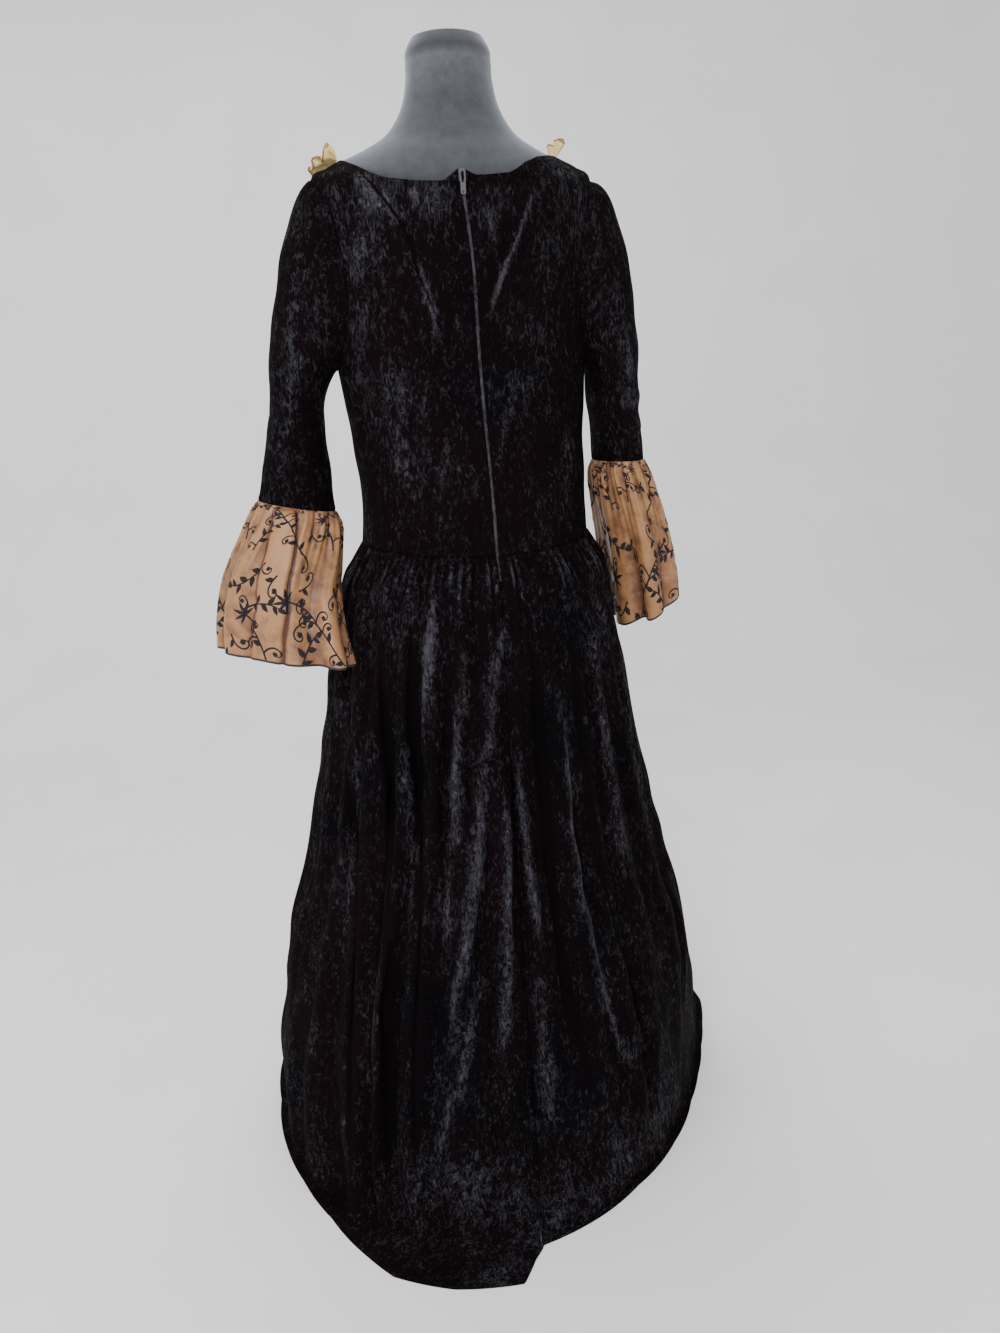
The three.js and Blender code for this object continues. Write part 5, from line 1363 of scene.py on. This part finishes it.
def ruffle():
    """The ruffle from its middle grid: up from the neckline and out from the bodice, swung to and
    fro square to its own rise by a cosine that grows towards the free edge and varies in size from
    loop to loop."""
    columns = RUFFLE_WAVES * RUFFLE_FINE + 1
    share = np.linspace(0, 1, columns)
    angle = np.radians(RUFFLE_FROM + (RUFFLE_TO - RUFFLE_FROM) * share)
    top = np.full_like(angle, NECK_ROW)
    edge = bodice_points(top, angle)
    step = 0.02
    along = bodice_points(top, angle + step) - bodice_points(top, angle - step)
    up = edge - bodice_points(top - 0.2, angle)
    up /= np.linalg.norm(up, axis=-1, keepdims=True)
    out = np.cross(up, along)
    out /= np.linalg.norm(out, axis=-1, keepdims=True)
    rows = np.linspace(0, 2, 25)
    ends = np.interp(share, RUFFLE_AT, np.arange(5))
    rise = through(through(RUFFLE_RISE, rows).T, ends)
    off = through(through(RUFFLE_OFF, rows).T, ends)
    wave = through(RUFFLE_WAVE, rows)[:, 0]
    phase = share * RUFFLE_WAVES * 2 * np.pi
    phase = phase + 0.7 * np.sin(phase * 0.23) + 0.5 * np.sin(phase * 0.41 + 2)
    swing = np.cos(phase) * (1 + 0.25 * np.sin(phase * 0.37)) + 0.25 * np.cos(2 * phase + 1)
    lift = 1 + 0.1 * np.sin(phase * 0.5 + 1)
    up_step, out_step = np.gradient(rise, axis=1), np.gradient(off, axis=1)
    step_size = np.hypot(up_step, out_step)
    wavy = wave[None] * swing[:, None]
    height = rise * lift[:, None] - wavy * out_step / step_size
    distance = VELVET / 2 + SEAM + RUFFLE_THICK / 2 + off * lift[:, None] + wavy * up_step / step_size
    middle = edge[:, None] + up[:, None] * height[..., None] + out[:, None] * distance[..., None]
    tangent = along / np.linalg.norm(along, axis=-1, keepdims=True)
    middle = middle + tangent[:, None] * (1.6 * np.sin(2 * phase)[:, None] * rows[None])[..., None]
    normals = outward(middle)
    length = np.concatenate([[0], np.cumsum(np.linalg.norm(np.diff(middle[:, -1], axis=0), axis=-1))])
    u = np.broadcast_to(length[:, None], middle.shape[:2])
    v = np.broadcast_to(rows[None] / 2 * RUFFLE_WIDTH, middle.shape[:2])
    uv = np.stack([u, v], -1) * MM
    marks = {"rim": v / RUFFLE_WIDTH}
    piece = cloth_wall(
        "gold_neck_ruffle", middle, normals, RIBBON_THICK, False, gold_ribbon(), uv, marks
    )
    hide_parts("neck_ruffle")
    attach(piece, BODY)
    return piece


neck_ruffle = ruffle()

# The zip: its slider and pull tab at the top of the centre back, cast metal with a worn nickel
# plate. The dark slot is painted shade, standing for the gap between the slider's two plates. Its
# middle is given in metres, with the height quartered.
SLOT_MIDDLE = (0.0103, 0, 0.35375)


def nickel():
    """Nickel plate, greyed by use, with fine scratches that dull it here and there, and a dark slot of
    painted shade between the slider's plates.
    """
    material, tree, shader = new_material("nickel_plate", Metallic=1.0)
    # A dark slot of painted shade where the slider's two plates part.
    off_slot = node(tree, "ShaderNodeVectorMath", operation="DISTANCE", _0=place(tree, (1, 0, 0.25)))
    off_slot.inputs[1].default_value = SLOT_MIDDLE
    slot_shade = node(tree, "ShaderNodeMath", operation="MULTIPLY", _0=off_slot.outputs["Value"], _1=200)
    metal = ramp(tree, slot_shade.outputs[0], [(0.28, (0.004, 0.004, 0.005)), (0.36, (0.12, 0.12, 0.13))])
    tree.links.new(metal, shader.inputs["Base Color"])
    scratches = ramp(tree, noise(tree, place(tree, (1, 1, 0.2)), 2500, 3), [(0.35, 0.4), (0.7, 0.58)])
    tree.links.new(scratches, shader.inputs["Roughness"])
    return material


plate = nickel()
for zip_node in ("zip_slider", "zip_pull_tab"):
    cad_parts[zip_node].data.materials.clear()
    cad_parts[zip_node].data.materials.append(plate)

# The floor: a plain pale studio floor that curves up into a plain pale wall behind. Sizes are in
# millimetres, and the wall's two heights are those of its rows above the curve.
FLOOR_REACH = 6000
FLOOR_COLUMNS = 25
WALL_START, WALL_BEND = 1800, 900
WALL_HEIGHTS = [3000, 6500]


def floor_sheet():
    """A wide sheet: flat under the dress, and then a quarter circle up to a wall on the far side
    from the camera."""
    across = np.linspace(-FLOOR_REACH, FLOOR_REACH, FLOOR_COLUMNS)
    bend = np.linspace(0, np.pi / 2, 17)
    flat = np.linspace(FLOOR_REACH, -WALL_START, 20)
    behind = -WALL_START - WALL_BEND
    along = np.concatenate([flat, -WALL_START - WALL_BEND * np.sin(bend)[1:], [behind, behind]])
    up = np.concatenate([np.zeros(len(flat)), WALL_BEND * (1 - np.cos(bend))[1:], WALL_HEIGHTS])
    grid = np.stack(np.broadcast_arrays(across[:, None], along[None], up[None]), -1)
    return grid, grid_faces(FLOOR_COLUMNS, len(along), False)


floor_material, floor_tree, floor_shader = new_material("pale_floor", Roughness=0.85)
floor_cloud = noise(floor_tree, place(floor_tree), 3, 2)
pale = ramp(floor_tree, floor_cloud, [(0.3, 0.88), (0.7, 0.92)])
floor_tree.links.new(pale, floor_shader.inputs["Base Color"])
floor_grid, floor_faces = floor_sheet()
studio_floor = build_mesh("studio_floor", floor_grid, floor_faces[:, ::-1], floor_material)

# The light: a wide soft lamp above and behind the camera, one overhead, a low fill from the
# wearer's left, and a pale sky all round.


def lamp(name, spot, target, size, watts, colour):
    """A square area lamp at a place, facing a target."""
    data = bpy.data.lights.new(name, "AREA")
    data.size, data.energy, data.color = size, watts, colour
    made = bpy.data.objects.new(name, data)
    bpy.context.scene.collection.objects.link(made)
    aim = np.array(target) - np.array(spot)
    aim = aim / np.linalg.norm(aim)
    made.location = spot
    made.rotation_euler = (math.acos(-aim[2]), 0, math.atan2(-aim[0], aim[1]))
    return made


lamp("key", (1.2, 2.8, 2.9), (0, 0, 0.9), 1.6, 100, (1.0, 0.98, 0.95))
lamp("fill", (2.9, 1.6, 1.3), (0, 0, 0.9), 2.0, 26, (0.93, 0.96, 1.0))
lamp("top", (0.2, -0.8, 3.2), (0, 0, 0.8), 1.8, 40, (1.0, 1.0, 1.0))
world = bpy.data.worlds.new("pale_room")
bpy.context.scene.world = world
world.use_nodes = True
world.node_tree.nodes["Background"].inputs["Color"].default_value = (0.95, 0.96, 1.0, 1)
world.node_tree.nodes["Background"].inputs["Strength"].default_value = 0.82

# The camera stands behind the dress, a little to the wearer's left, at breast height, looking down
# at it. Its focal length is given in pixels of the photograph's height.
CAMERA_PLACE = (0.31187, 1.46722, 1.1676)
CAMERA_HEADING = math.radians(193.37)
CAMERA_PITCH = math.radians(16.1)
CAMERA_ROLL = math.radians(2.4)
SENSOR = 36
FOCAL_PIXELS, FRAME_HEIGHT = 1001, 1333


def camera_frame():
    """The camera's right, up and backward directions: its heading and pitch give the way forward,
    and its roll leans the other two."""
    heading, pitch, roll = CAMERA_HEADING, CAMERA_PITCH, CAMERA_ROLL
    level = math.cos(pitch)
    forward = np.array([math.sin(heading) * level, math.cos(heading) * level, -math.sin(pitch)])
    right = np.cross(forward, [0, 0, 1])
    right /= np.linalg.norm(right)
    up = np.cross(right, forward)
    leaned_right = right * math.cos(roll) - up * math.sin(roll)
    leaned_up = up * math.cos(roll) + right * math.sin(roll)
    return np.array([leaned_right, leaned_up, -forward])


camera_data = bpy.data.cameras.new("camera")
camera_data.sensor_fit = "AUTO"
camera_data.sensor_width = SENSOR
camera_data.lens = FOCAL_PIXELS / FRAME_HEIGHT * SENSOR
camera = bpy.data.objects.new("camera", camera_data)
bpy.context.scene.collection.objects.link(camera)
camera.matrix_world = Matrix.Translation(CAMERA_PLACE) @ Matrix(camera_frame().T.tolist()).to_4x4()
bpy.context.scene.camera = camera
